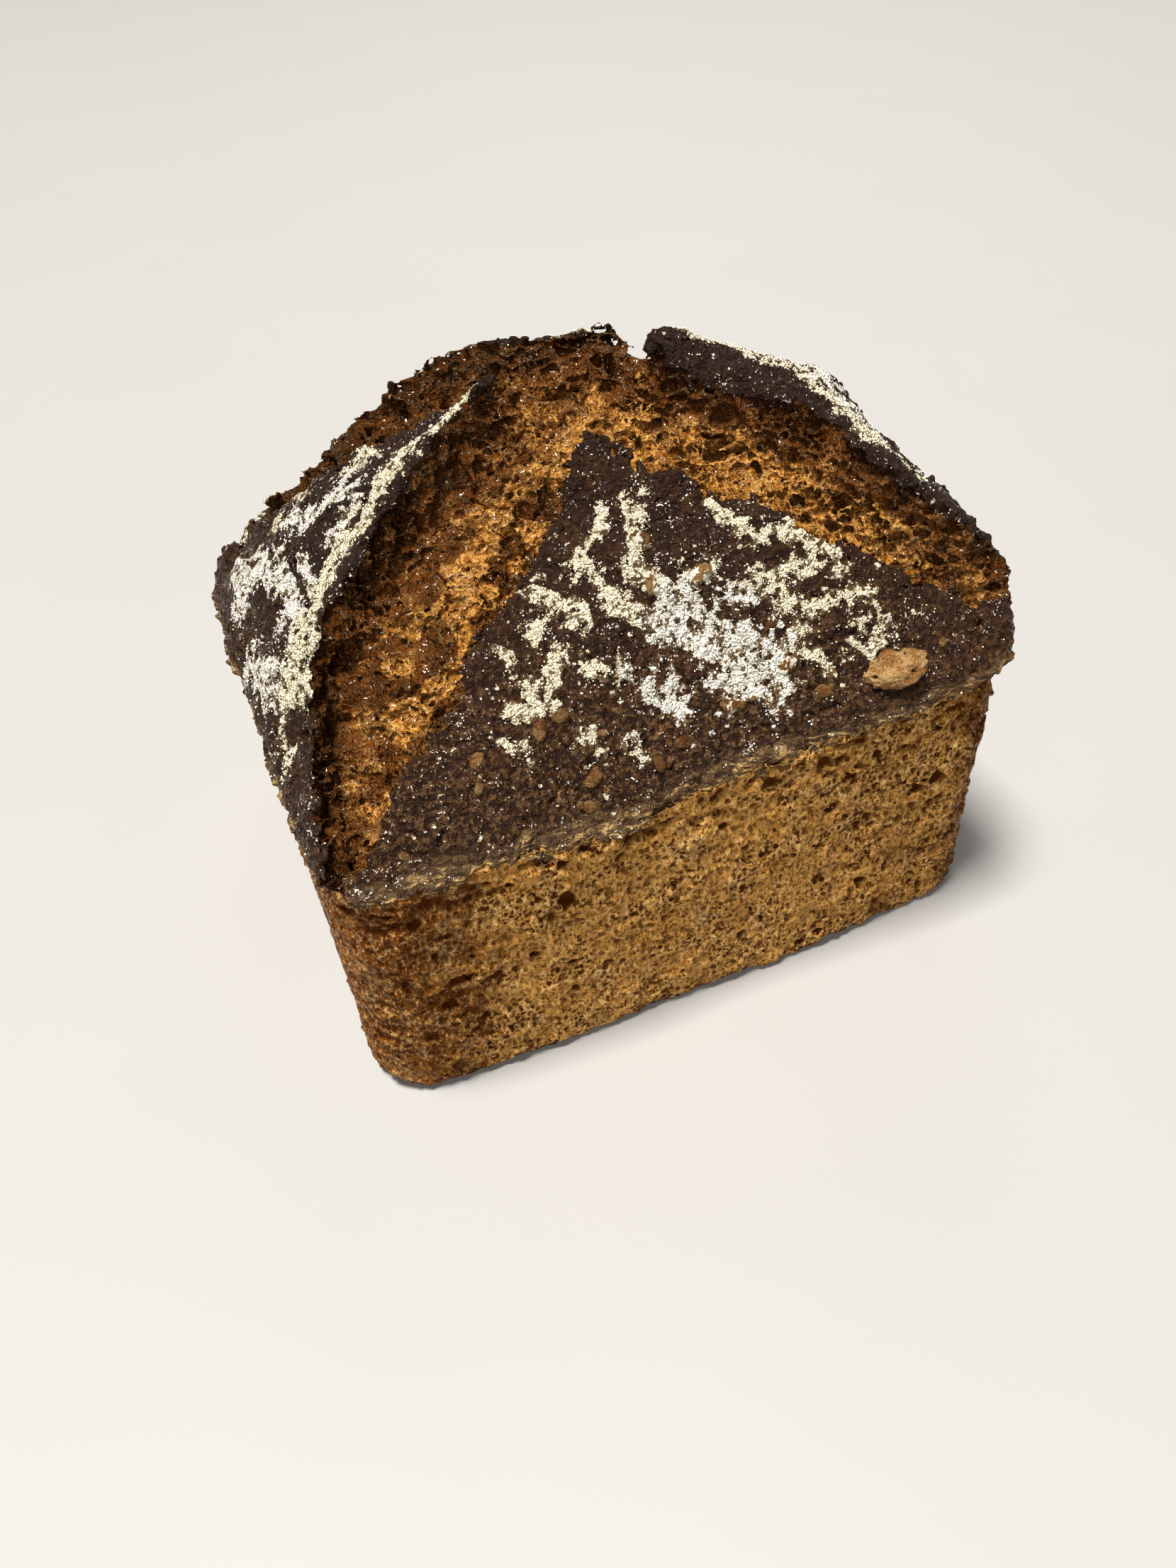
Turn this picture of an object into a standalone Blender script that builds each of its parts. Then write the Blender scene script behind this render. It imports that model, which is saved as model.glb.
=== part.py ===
"""A small, nearly square tin loaf of spelt bread, scored with a cross before baking.

The loaf is one closed solid: a body with straight tin-baked sides, a flat base, a proud wavy
line where the tin's rim was, and a crown that tore open along the cross into four crust flaps
with craggy crumb between them. Lengths are in metres, +Z is up, and the origin is the middle
of the base. The front of the loaf faces -Y.
"""

import math

import bmesh
import bpy
import numpy as np
from mathutils import Matrix, Vector
from mathutils.bvhtree import BVHTree

MM = 0.001

# Driving sizes of the tin-baked body, in millimetres.
WIDTH = 126.5
DEPTH = 107.5
BODY_CENTRE_X = 2.0
BODY_CENTRE_Y = -1.6
RIM_HEIGHT = 53.0
RIM_WAVE = 0.8
RIM_WAVE_REACH = 7.0
RIM_RIPPLE = 0.5
RIM_RIPPLE_REACH_X = 11.0
RIM_RIPPLE_REACH_Y = 5.0
RIM_DROP_FRONT = 1.5
RIM_FRONT_REACH = 40.0
RIM_RISE_FRONT_RIGHT = 4.5
RIM_RISE_START = 8.0
RIM_RISE_REACH = 26.0
CORNER_RADIUS = 12.0
BASE_RADIUS = 5.0
FRONT_BULGE = 1.0
RIM_PROUD = 1.1
RIM_PROUD_REACH = 2.0
CROWN_EDGE_RADIUS = 3.0

# Edges of the four flaps, each from its tip near the middle to a corner of the tin (x, y, z).
FRONT_LEFT_EDGE = [(4, -8, 94), (-3, -12, 86), (-10, -18, 80), (-19, -24, 76.5), (-28, -31, 73),
                   (-36, -38, 69), (-44, -43, 65), (-50, -47, 59), (-57, -51, 53)]
FRONT_RIGHT_EDGE = [(4, -8, 94), (13, -18, 89), (22, -23, 86), (28, -30, 83), (35, -36, 79),
                    (47, -43, 72), (57, -49, 66.5), (62, -49, 66), (67, -47, 63)]
LEFT_FRONT_EDGE = [(-10, 1, 103), (-18, 0, 98), (-25, -2, 94), (-33, -7, 89), (-39, -10, 84),
                   (-46, -14, 79), (-52, -20, 72), (-56, -31, 65), (-58, -40, 60), (-61, -50, 53)]
LEFT_BACK_EDGE = [(-10, 1, 103), (-17, 9, 96), (-25, 15, 90), (-34, 23, 83), (-43, 32, 74),
                  (-53, 43, 63), (-59, 50, 56)]
RIGHT_FRONT_EDGE = [(21, 3, 103), (22, -1, 99), (28, -5, 98), (33, -8, 96.5), (38, -14, 95),
                    (42, -21, 93), (44, -27, 91), (48, -32, 88), (52, -38, 84), (59, -42, 78),
                    (65, -45, 72)]
RIGHT_BACK_EDGE = [(21, 3, 103), (27, 9, 97), (35, 19, 84), (46, 33, 70), (60, 47, 58)]
BACK_LEFT_EDGE = [(15, 17, 100), (4, 18, 101), (-5, 24, 100), (-13, 29, 97), (-23, 35, 89),
                  (-32, 40, 81), (-42, 45, 71), (-54, 51, 57)]
BACK_RIGHT_EDGE = [(15, 17, 100), (20, 18, 98.5), (24, 23, 90), (29, 29, 80), (40, 39, 69), (54, 51, 57)]

# Points that the flaps' upper faces pass through besides their edges: bulge and foot.
FRONT_FACE = [(-45, -55, 52), (-20, -55, 52), (5, -55, 53), (30, -55, 58), (50, -56, 60),
              (-30, -42, 67), (0, -32, 78), (0, -44, 65), (28, -44, 71), (8, -20, 87)]
LEFT_FACE = [(-63, -35, 55), (-63, -15, 56), (-63, 8, 56), (-63, 30, 56), (-55, -8, 70),
             (-48, 8, 77), (-35, 8, 89), (-55, 22, 68)]
RIGHT_FACE = [(25, 2, 103.6), (31, 0, 101.5), (37, -4, 99), (44, -6, 96.6), (50, -9, 94.5), (58, -17, 82),
              (62, -31, 78), (36, 6, 95), (45, 5, 87), (59, 0, 79), (50, 14, 78), (58, 26, 66),
              (67, 30, 58), (67, 8, 64), (67, -10, 70), (67, -30, 68)]
BACK_FACE = [(-36, 56, 56), (-12, 56, 57), (12, 56, 57), (36, 56, 57), (-14, 42, 82),
             (4, 40, 88), (22, 42, 80)]

# Crumb between the flaps, from the middle of the crown out to the corners.
CRUMB_POINTS = [(8, 2, 95), (0, 4, 98), (-6, -6, 91), (12, 10, 99), (2, 12, 100), (17, -12, 89),
                (12, -7, 92), (19, 3, 94), (26, -9, 88), (34, -14, 84), (41, -20, 82),
                (45, -27, 80), (52, -37, 76),
                (-16, 1, 90), (-23, 0, 88), (-30, -4, 83), (-36, -9, 78), (-41, -12, 75),
                (-47, -19, 68), (-52, -27, 62), (-56, -36, 56), (-59, -47, 50),
                (-10, -12, 86), (-20, -14, 81), (-28, -21, 76), (-36, -29, 71), (-44, -36, 64),
                (-51, -42, 57),
                (24, -17, 85), (30, -22, 82), (37, -27, 79), (43, -31, 77), (49, -36, 73),
                (56, -42, 68), (61, -45, 64),
                (-8, 14, 96), (-18, 22, 88), (-28, 31, 79), (-39, 38, 69), (-52, 47, 56),
                (22, 12, 97), (32, 24, 79), (43, 36, 65), (56, 49, 54)]
CRUMB_UNDER_FRONT_EDGES = 3.0
CRUMB_UNDER_FACES = 8.0
CRUMB_STEEPNESS = 1.3

# How far each torn side of a flap runs out towards the gash for each millimetre down.
FRONT_LEAN = 0.15
LEFT_LEAN = 0.3
RIGHT_LEAN = 0.5
BACK_LEAN = 0.4
FLAP_EDGE_RADIUS = 1.2
EDGE_CURL = 0.8
EDGE_CURL_WIDTH = 3.0
FLAP_CREASE = 1.2
FLAP_STEEPEST = 3.0
OUTER_CORNER = 130.0

# A flap's side is torn crumb from this far below its upper face.
TORN_BELOW = 2.0
TORN_REACH = 4.0

# Hollows torn into the crumb: centre and half sizes.
HOLLOWS = [((-14, -2, 93), (8, 3.5, 4.0)), ((-27, -8, 86), (6, 3.0, 3.5)),
           ((21, -2, 95), (3.5, 4.0, 5.0)), ((34, -17, 86), (8, 3.0, 3.0)),
           ((4, 4, 98), (3.5, 3.0, 3.5)), ((-20, 17, 93), (8, 4.0, 4.0))]
HOLLOW_EDGE = 1.5

# Large unevenness of the surface: wavelength and depth.
CRAG_WAVELENGTH = 5.0
CRAG_DEPTH = 2.2
WRINKLE_WAVELENGTH = 8.0
WRINKLE_DEPTH = 1.0
WALL_WRINKLE = 0.25
WALL_SWELL_WAVELENGTH = 24.0
WALL_SWELL = 0.6
NOISE_SEED = 7
SPLINE_EASE = 4.0

# Kernels baked into the crust: plan place, length, width and turn; the first is a nut piece.
KERNELS = [(38.5, -52.5, 12.0, 7.0, 8), (5.0, -26.0, 3.2, 3.0, 0), (4.0, -32.0, 5.2, 2.6, 70),
           (12.0, -33.5, 4.6, 3.2, 20), (10.5, -48.5, 4.6, 3.0, -15), (1.3, -49.2, 4.2, 2.6, 10),
           (-15.5, -49.5, 3.6, 2.4, 35), (-21.6, -43.1, 4.2, 2.6, 60), (-17.7, -42.1, 3.4, 2.4, 0),
           (-33.0, -45.0, 3.4, 2.2, 50), (21.0, -47.5, 3.8, 2.6, 30)]
KERNEL_SUNK = 0.3
KERNEL_ROUNDNESS = 2
DROP_HEIGHT = 200.0

GRID_STEP = 1.6
GRID_MARGIN = 9.0
GRID_BOTTOM = -4.0
GRID_TOP = 111.2
FILLING_ROUNDS = 12
FILLING_DEPTH = 0.3
BASE_FLATNESS = 0.02
TRIANGLE_SHARE = 0.2
CRUST_BROWN = (0.11, 0.045, 0.018, 1.0)
CRUST_ROUGHNESS = 0.5


def clear_scene():
    """Remove every object, so that only the loaf is left."""
    for item in list(bpy.data.objects):
        bpy.data.objects.remove(item, do_unlink=True)


def smooth_greatest(first, second, radius):
    """Greater of two distances, with the crease between them rounded to a radius."""
    blend = np.clip(0.5 + 0.5 * (first - second) / radius, 0.0, 1.0)
    return first * blend + second * (1.0 - blend) + radius * blend * (1.0 - blend)


def smooth_least(first, second, radius):
    """Lesser of two distances, with the crease between them filled to a radius."""
    return -smooth_greatest(-first, -second, radius)


def smooth_step(value):
    """Ramp from 0 to 1 with flat ends."""
    share = np.clip(value, 0.0, 1.0)
    return share * share * (3.0 - 2.0 * share)


def spline_kernel(square):
    """Thin-plate kernel of a squared distance."""
    return square * np.log(square + 1.0e-9)


def height_through(points, x, y):
    """Height of the thin-plate surface through points, at plan positions x and y."""
    known = np.array(points, dtype=float)
    gap_x = known[:, None, 0] - known[None, :, 0]
    gap_y = known[:, None, 1] - known[None, :, 1]
    count = len(known)
    system = np.zeros((count + 3, count + 3))
    system[:count, :count] = spline_kernel(gap_x ** 2 + gap_y ** 2) + np.eye(count) * SPLINE_EASE
    system[:count, count] = 1.0
    system[:count, count + 1:] = known[:, :2]
    system[count:, :count] = system[:count, count:].T
    target = np.concatenate([known[:, 2], np.zeros(3)])
    weights = np.linalg.solve(system, target)
    height = weights[count] + weights[count + 1] * x + weights[count + 2] * y
    for (px, py, _), weight in zip(known, weights):
        height = height + weight * spline_kernel((x - px) ** 2 + (y - py) ** 2)
    return height


def outline_distance(corners, x, y):
    """Signed plan distance to a closed outline, negative inside it."""
    nearest = np.full(np.broadcast(x, y).shape, np.inf)
    inside = np.zeros(nearest.shape, dtype=bool)
    for (ax, ay), (bx, by) in zip(corners, corners[1:] + corners[:1]):
        run_x = bx - ax
        run_y = by - ay
        along = ((x - ax) * run_x + (y - ay) * run_y) / (run_x ** 2 + run_y ** 2)
        along = np.clip(along, 0.0, 1.0)
        away = np.hypot(x - ax - along * run_x, y - ay - along * run_y)
        nearest = np.minimum(nearest, away)
        if ay != by:
            crosses = (ay > y) != (by > y)
            inside ^= crosses & (x < ax + (y - ay) / (by - ay) * run_x)
    return np.where(inside, -nearest, nearest)


def lattice_noise(x, y, z, wavelength, seed):
    """Smooth noise from -1 to 1, drawn from a seeded lattice of values."""
    values = np.random.default_rng(seed).uniform(-1.0, 1.0, (64, 64, 64))
    cell = []
    share = []
    for axis in (x, y, z):
        scaled = axis / wavelength + 100.0
        whole = np.floor(scaled)
        cell.append(whole.astype(int))
        share.append(smooth_step(scaled - whole))
    total = 0.0
    for dx in (0, 1):
        for dy in (0, 1):
            for dz in (0, 1):
                weight = (np.abs(1 - dx - share[0]) * np.abs(1 - dy - share[1])
                          * np.abs(1 - dz - share[2]))
                corner = values[(cell[0] + dx) % 64, (cell[1] + dy) % 64, (cell[2] + dz) % 64]
                total = total + weight * corner
    return total


def flap_outline(first_edge, second_edge, outer_corners):
    """Plan outline of a flap: out along one edge, round outside the tin, back along the other."""
    outward = [point[:2] for point in first_edge]
    inward = [point[:2] for point in reversed(second_edge[1:])]
    return outward + outer_corners + inward


def flap_distance(edges, face, outer_corners, lean, x, y, z):
    """Distance to one flap: under its upper face and inside its leaning torn sides."""
    height = height_through(edges[0] + edges[1][1:] + face, x, y)
    slope = np.hypot(*np.gradient(height, GRID_STEP, GRID_STEP, axis=(0, 1)))
    steepness = np.sqrt(1.0 + np.minimum(slope, FLAP_STEEPEST) ** 2)
    plan = outline_distance(flap_outline(edges[0], edges[1], outer_corners), x, y)
    height = height + EDGE_CURL * np.exp(-(plan / EDGE_CURL_WIDTH) ** 2)
    above = (z - height) / steepness
    beside = plan - lean * np.maximum(height - z, 0.0)
    return smooth_greatest(above, beside / math.hypot(1.0, lean), FLAP_EDGE_RADIUS), height


def rim_height(x, y):
    """Height of the line that the tin's rim left, which rises at the front right."""
    wave = RIM_WAVE * np.sin(x / RIM_WAVE_REACH)
    ripple = RIM_RIPPLE * np.sin(x / RIM_RIPPLE_REACH_X + y / RIM_RIPPLE_REACH_Y)
    front = smooth_step(-y / RIM_FRONT_REACH)
    climb = RIM_RISE_FRONT_RIGHT * smooth_step((x - RIM_RISE_START) / RIM_RISE_REACH)
    return RIM_HEIGHT + wave + ripple + front * (climb - RIM_DROP_FRONT)


def crumb_distance(x, y, z, crags):
    """Distance to the torn crumb between the flaps, which runs on under them."""
    sunk = [(px, py, pz - CRUMB_UNDER_FRONT_EDGES)
            for px, py, pz in FRONT_LEFT_EDGE + FRONT_RIGHT_EDGE[1:]]
    for face in (FRONT_FACE, LEFT_FACE, RIGHT_FACE, BACK_FACE):
        sunk += [(px, py, pz - CRUMB_UNDER_FACES) for px, py, pz in face]
    height = height_through(CRUMB_POINTS + sunk, x, y)
    crumb = (z - height) / CRUMB_STEEPNESS + CRAG_DEPTH * crags
    for (cx, cy, cz), (rx, ry, rz) in HOLLOWS:
        hollow = np.sqrt(((x - cx) / rx) ** 2 + ((y - cy) / ry) ** 2 + ((z - cz) / rz) ** 2)
        crumb = smooth_greatest(crumb, (1.0 - hollow) * min(rx, ry, rz), HOLLOW_EDGE)
    return crumb


def crown_distance(x, y, z, wrinkles):
    """Distance to the crown: the crumb with the four flaps over it."""
    left_front = (-OUTER_CORNER, -OUTER_CORNER)
    right_front = (OUTER_CORNER, -OUTER_CORNER)
    left_back = (-OUTER_CORNER, OUTER_CORNER)
    right_back = (OUTER_CORNER, OUTER_CORNER)
    flaps = [
        ((FRONT_LEFT_EDGE, FRONT_RIGHT_EDGE), FRONT_FACE, [left_front, right_front], FRONT_LEAN),
        ((LEFT_FRONT_EDGE, LEFT_BACK_EDGE), LEFT_FACE, [left_front, left_back], LEFT_LEAN),
        ((RIGHT_FRONT_EDGE, RIGHT_BACK_EDGE), RIGHT_FACE, [right_front, right_back], RIGHT_LEAN),
        ((BACK_LEFT_EDGE, BACK_RIGHT_EDGE), BACK_FACE, [left_back, right_back], BACK_LEAN),
    ]
    crags = lattice_noise(x, y, z, CRAG_WAVELENGTH, NOISE_SEED)
    crown = crumb_distance(x, y, z, crags)
    for edges, face, outer, lean in flaps:
        flap, height = flap_distance(edges, face, outer, lean, x, y, z)
        torn = smooth_step((height - z - TORN_BELOW) / TORN_REACH)
        flap = flap + wrinkles * (1.0 - torn) + CRAG_DEPTH * crags * torn
        crown = smooth_least(crown, flap, FLAP_CREASE)
    return crown


def wall_distance(x, y, z, wrinkles):
    """Distance to the upright faces that the tin formed, proud and wavy above its rim."""
    rise = z - rim_height(x, y)
    outward = RIM_PROUD * smooth_step(rise / RIM_PROUD_REACH + 0.5)
    from_middle = x - BODY_CENTRE_X
    bulge = FRONT_BULGE * (y < 0.0) * (1.0 - (2.0 * from_middle / WIDTH) ** 2)
    side_x = np.abs(from_middle) - (WIDTH / 2.0 - CORNER_RADIUS) - outward
    side_y = np.abs(y - BODY_CENTRE_Y) - (DEPTH / 2.0 - CORNER_RADIUS) - outward - bulge
    corner = np.hypot(np.maximum(side_x, 0.0), np.maximum(side_y, 0.0))
    flat = np.minimum(np.maximum(side_x, side_y), 0.0)
    swell = WALL_SWELL * lattice_noise(x, y, z, WALL_SWELL_WAVELENGTH, NOISE_SEED + 2)
    return corner + flat - CORNER_RADIUS + WALL_WRINKLE * wrinkles + swell


def loaf_distance(x, y, z):
    """Distance to the loaf's surface in millimetres, negative inside."""
    wrinkles = WRINKLE_DEPTH * lattice_noise(x, y, z, WRINKLE_WAVELENGTH, NOISE_SEED + 1)
    crown = crown_distance(x, y, z, wrinkles)
    body = smooth_greatest(wall_distance(x, y, z, wrinkles), crown, CROWN_EDGE_RADIUS)
    return smooth_greatest(body, -z - BASE_RADIUS / 4.0, BASE_RADIUS)


def without_diagonals(field):
    """Fill samples that touch the solid only across a diagonal, which would pinch the mesh."""
    field = field.copy()
    for _ in range(FILLING_ROUNDS):
        changed = False
        for first, second in ((0, 1), (1, 2), (0, 2)):
            corners = []
            for shift_first, shift_second in ((0, 0), (1, 0), (1, 1), (0, 1)):
                place = [slice(None)] * 3
                place[first] = slice(shift_first, field.shape[first] - 1 + shift_first)
                place[second] = slice(shift_second, field.shape[second] - 1 + shift_second)
                corners.append(field[tuple(place)])
            inside = [corner < 0.0 for corner in corners]
            for start in (0, 1):
                crossed = inside[start] & inside[start + 2] & ~inside[1 - start] & ~inside[3 - start]
                if crossed.any():
                    corners[1 - start][crossed] = -FILLING_DEPTH
                    changed = True
        if not changed:
            break
    return field


def net_faces(inside, index, axis):
    """Quads around the grid edges along one axis where the field changes sign."""
    here = [slice(1, -1)] * 3
    here[axis] = slice(None, -1)
    there = list(here)
    there[axis] = slice(1, None)
    leaving = inside[tuple(here)] & ~inside[tuple(there)]
    entering = ~inside[tuple(here)] & inside[tuple(there)]
    second = (axis + 1) % 3
    third = (axis + 2) % 3
    quads = []
    for crossing, order in ((leaving, (0, 1, 2, 3)), (entering, (3, 2, 1, 0))):
        place = np.argwhere(crossing)
        place[:, second] += 1
        place[:, third] += 1
        ring = []
        for back_second, back_third in ((1, 1), (0, 1), (0, 0), (1, 0)):
            cell = place.copy()
            cell[:, second] -= back_second
            cell[:, third] -= back_third
            ring.append(index[cell[:, 0], cell[:, 1], cell[:, 2]])
        quads.append(np.stack([ring[corner] for corner in order], axis=1))
    return np.concatenate(quads)


def surface_net(field, start, step):
    """Points and quads of the zero surface of a field sampled on a regular grid."""
    inside = field < 0.0
    cells = tuple(size - 1 for size in field.shape)
    total = np.zeros(cells + (3,))
    count = np.zeros(cells)
    for axis in range(3):
        second = (axis + 1) % 3
        third = (axis + 2) % 3
        for shift_second in (0, 1):
            for shift_third in (0, 1):
                low = [None] * 3
                low[axis] = slice(0, cells[axis])
                low[second] = slice(shift_second, shift_second + cells[second])
                low[third] = slice(shift_third, shift_third + cells[third])
                high = list(low)
                high[axis] = slice(1, cells[axis] + 1)
                first_value = field[tuple(low)]
                last_value = field[tuple(high)]
                crossed = inside[tuple(low)] != inside[tuple(high)]
                gap = np.where(crossed, first_value - last_value, 1.0)
                share = np.where(crossed, first_value / gap, 0.0)
                total[..., axis] += share
                total[..., second] += shift_second * crossed
                total[..., third] += shift_third * crossed
                count += crossed
    used = np.argwhere(count > 0)
    index = np.full(cells, -1)
    index[tuple(used.T)] = np.arange(len(used))
    mean = total[tuple(used.T)] / count[tuple(used.T)][:, None]
    points = np.array(start) + (used + mean) * step
    faces = np.concatenate([net_faces(inside, index, axis) for axis in range(3)])
    return points, faces


def loaf_mesh():
    """Mesh of the loaf, cut flat at its base and closed there by one face."""
    start = (-WIDTH / 2.0 - GRID_MARGIN, -DEPTH / 2.0 - GRID_MARGIN, GRID_BOTTOM)
    end = (-start[0], -start[1], GRID_TOP)
    axes = [np.arange(first, last, GRID_STEP) for first, last in zip(start, end)]
    x, y, z = np.meshgrid(*axes, indexing="ij", sparse=True)
    field = without_diagonals(loaf_distance(x, y, z))
    points, faces = surface_net(field, start, GRID_STEP)
    mesh = bpy.data.meshes.new("loaf")
    mesh.from_pydata((points * MM).tolist(), [], faces.tolist())
    shape = bmesh.new()
    shape.from_mesh(mesh)
    keep_largest_piece(shape)
    everything = shape.verts[:] + shape.edges[:] + shape.faces[:]
    bmesh.ops.bisect_plane(shape, geom=everything, plane_co=(0, 0, 0), plane_no=(0, 0, -1),
                           clear_outer=True)
    open_edges = [edge for edge in shape.edges if edge.is_boundary]
    bmesh.ops.edgeloop_fill(shape, edges=open_edges)
    bmesh.ops.recalc_face_normals(shape, faces=shape.faces)
    shape.to_mesh(mesh)
    shape.free()
    return mesh


def keep_largest_piece(shape):
    """Delete loose scraps, leaving the piece with the most points."""
    unseen = set(shape.verts)
    pieces = []
    while unseen:
        piece = {unseen.pop()}
        edge_of_piece = list(piece)
        while edge_of_piece:
            for edge in edge_of_piece.pop().link_edges:
                for point in edge.verts:
                    if point in unseen:
                        unseen.remove(point)
                        piece.add(point)
                        edge_of_piece.append(point)
        pieces.append(piece)
    largest = max(pieces, key=len)
    scraps = [point for piece in pieces if piece is not largest for point in piece]
    bmesh.ops.delete(shape, geom=scraps, context="VERTS")


def crust_material():
    """Dark browned crust."""
    material = bpy.data.materials.new("browned_crust")
    material.use_nodes = True
    shader = material.node_tree.nodes["Principled BSDF"]
    shader.inputs["Base Color"].default_value = CRUST_BROWN
    shader.inputs["Roughness"].default_value = CRUST_ROUGHNESS
    shader.inputs["Metallic"].default_value = 0.0
    return material


def evaluated_copy(item):
    """Mesh of an object with its modifiers applied."""
    ready = item.evaluated_get(bpy.context.evaluated_depsgraph_get())
    return bpy.data.meshes.new_from_object(ready)


def add_kernels(loaf, collection):
    """Lay each kernel on the crust, long way along its turn and partly sunk in."""
    crust = BVHTree.FromObject(loaf, bpy.context.evaluated_depsgraph_get())
    for number, (x, y, length, width, turn) in enumerate(KERNELS):
        place, normal, _, _ = crust.ray_cast(Vector((x, y, DROP_HEIGHT)) * MM, Vector((0, 0, -1)))
        heading = Matrix.Rotation(math.radians(turn), 3, "Z") @ Vector((1, 0, 0))
        across = normal.cross(heading).normalized()
        along = across.cross(normal)
        turned = Matrix((along, across, normal)).transposed().to_4x4()
        place = place + normal * width * MM * (0.5 - KERNEL_SUNK)
        sizes = Matrix.Diagonal((length * MM / 2.0, width * MM / 2.0, width * MM / 2.0, 1.0))
        mesh = bpy.data.meshes.new(f"kernel_{number}")
        shape = bmesh.new()
        bmesh.ops.create_icosphere(shape, subdivisions=KERNEL_ROUNDNESS, radius=1.0,
                                   matrix=Matrix.Translation(place) @ turned @ sizes)
        shape.to_mesh(mesh)
        shape.free()
        collection.objects.link(bpy.data.objects.new(mesh.name, mesh))


def apply_modifiers(item):
    """Replace an object's mesh by its modified one and drop the modifiers."""
    mesh = evaluated_copy(item)
    item.modifiers.clear()
    item.data = mesh


def centre_on_base(mesh):
    """Move the mesh so that the middle of its plan is at the origin and its base at height 0."""
    places = np.array([point.co for point in mesh.vertices])
    middle = (places.min(axis=0) + places.max(axis=0)) / 2.0
    mesh.transform(Matrix.Translation((-middle[0], -middle[1], 0.0)))
    for point in mesh.vertices:
        if point.co.z < BASE_FLATNESS * MM:
            point.co.z = 0.0


def build_loaf():
    """Make the loaf's one object."""
    clear_scene()
    loaf = bpy.data.objects.new("loaf", loaf_mesh())
    bpy.context.collection.objects.link(loaf)
    thin = loaf.modifiers.new("fewer_triangles", "DECIMATE")
    thin.ratio = TRIANGLE_SHARE
    apply_modifiers(loaf)
    bpy.context.view_layer.update()
    kernels = bpy.data.collections.new("kernels")
    bpy.context.scene.collection.children.link(kernels)
    add_kernels(loaf, kernels)
    union = loaf.modifiers.new("baked_in", "BOOLEAN")
    union.operation = "UNION"
    union.operand_type = "COLLECTION"
    union.collection = kernels
    union.solver = "EXACT"
    apply_modifiers(loaf)
    for kernel in list(kernels.objects):
        bpy.data.objects.remove(kernel, do_unlink=True)
    bpy.data.collections.remove(kernels)
    centre_on_base(loaf.data)
    loaf.data.materials.clear()
    loaf.data.materials.append(crust_material())
    loaf.data.shade_smooth()


build_loaf()
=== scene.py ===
"""Dresses a small spelt bread loaf: torn crumb, floured crust, tin-baked sides, grains and stage.

The loaf's large form is the part's own, worked out again here at a finer step, so that pores,
wrinkles and flour can be cut into it. Lengths of the form are millimetres in the design's plan,
which the part moves so that the middle of its box is the origin.
"""

import functools
import itertools
import math
from collections import namedtuple

import bmesh
import bpy
import numpy as np
from bpy.props import FloatProperty, FloatVectorProperty, IntProperty, PointerProperty
from mathutils import Color, Matrix, Vector
from mathutils.bvhtree import BVHTree


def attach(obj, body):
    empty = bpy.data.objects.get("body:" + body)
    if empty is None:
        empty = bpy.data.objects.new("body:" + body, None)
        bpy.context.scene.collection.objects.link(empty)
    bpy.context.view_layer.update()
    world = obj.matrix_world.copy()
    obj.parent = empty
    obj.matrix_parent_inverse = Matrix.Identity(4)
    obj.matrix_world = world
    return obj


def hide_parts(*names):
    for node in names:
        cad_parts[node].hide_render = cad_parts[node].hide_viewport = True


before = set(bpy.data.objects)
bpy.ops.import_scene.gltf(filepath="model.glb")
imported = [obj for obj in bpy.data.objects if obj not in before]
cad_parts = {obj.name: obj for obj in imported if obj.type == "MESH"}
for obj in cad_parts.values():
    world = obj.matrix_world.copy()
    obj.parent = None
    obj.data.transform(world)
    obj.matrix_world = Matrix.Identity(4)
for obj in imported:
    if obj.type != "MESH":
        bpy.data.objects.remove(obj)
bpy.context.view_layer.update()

bl_info = {
    "name": "Spelt Bread Loaf",
    "version": (1, 0, 0),
    "blender": (4, 5, 0),
    "location": "3D View > Sidebar > Loaf",
    "description": "Crust, crumb, sides, grains and flour of a small tin loaf, with its stage",
    "category": "Add Mesh",
}

MM = 0.001
NODE = "loaf"
BODY = "root"

# ---------------------------------------------------------------- the loaf's large form

# The design's plan is moved by this much, so that the middle of the part's box is the origin.
PLAN_SHIFT = (-2.066, 1.762)

WIDTH = 126.5
DEPTH = 107.5
BODY_CENTRE_X = 2.0
BODY_CENTRE_Y = -1.6
RIM_HEIGHT = 53.0
RIM_WAVE = 0.8
RIM_WAVE_REACH = 7.0
RIM_RIPPLE = 0.5
RIM_RIPPLE_REACH_X = 11.0
RIM_RIPPLE_REACH_Y = 5.0
RIM_DROP_FRONT = 1.5
RIM_FRONT_REACH = 40.0
RIM_RISE_FRONT_RIGHT = 4.5
RIM_RISE_START = 8.0
RIM_RISE_REACH = 26.0
CORNER_RADIUS = 12.0
BASE_RADIUS = 5.0
FRONT_BULGE = 1.0
RIM_PROUD = 1.1
RIM_STEP = (-0.5, 1.0)
RIM_NOTCH = 0.45
RIM_NOTCH_EDGE = (-0.1, -1.0)
CROWN_EDGE_RADIUS = 3.0

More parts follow.
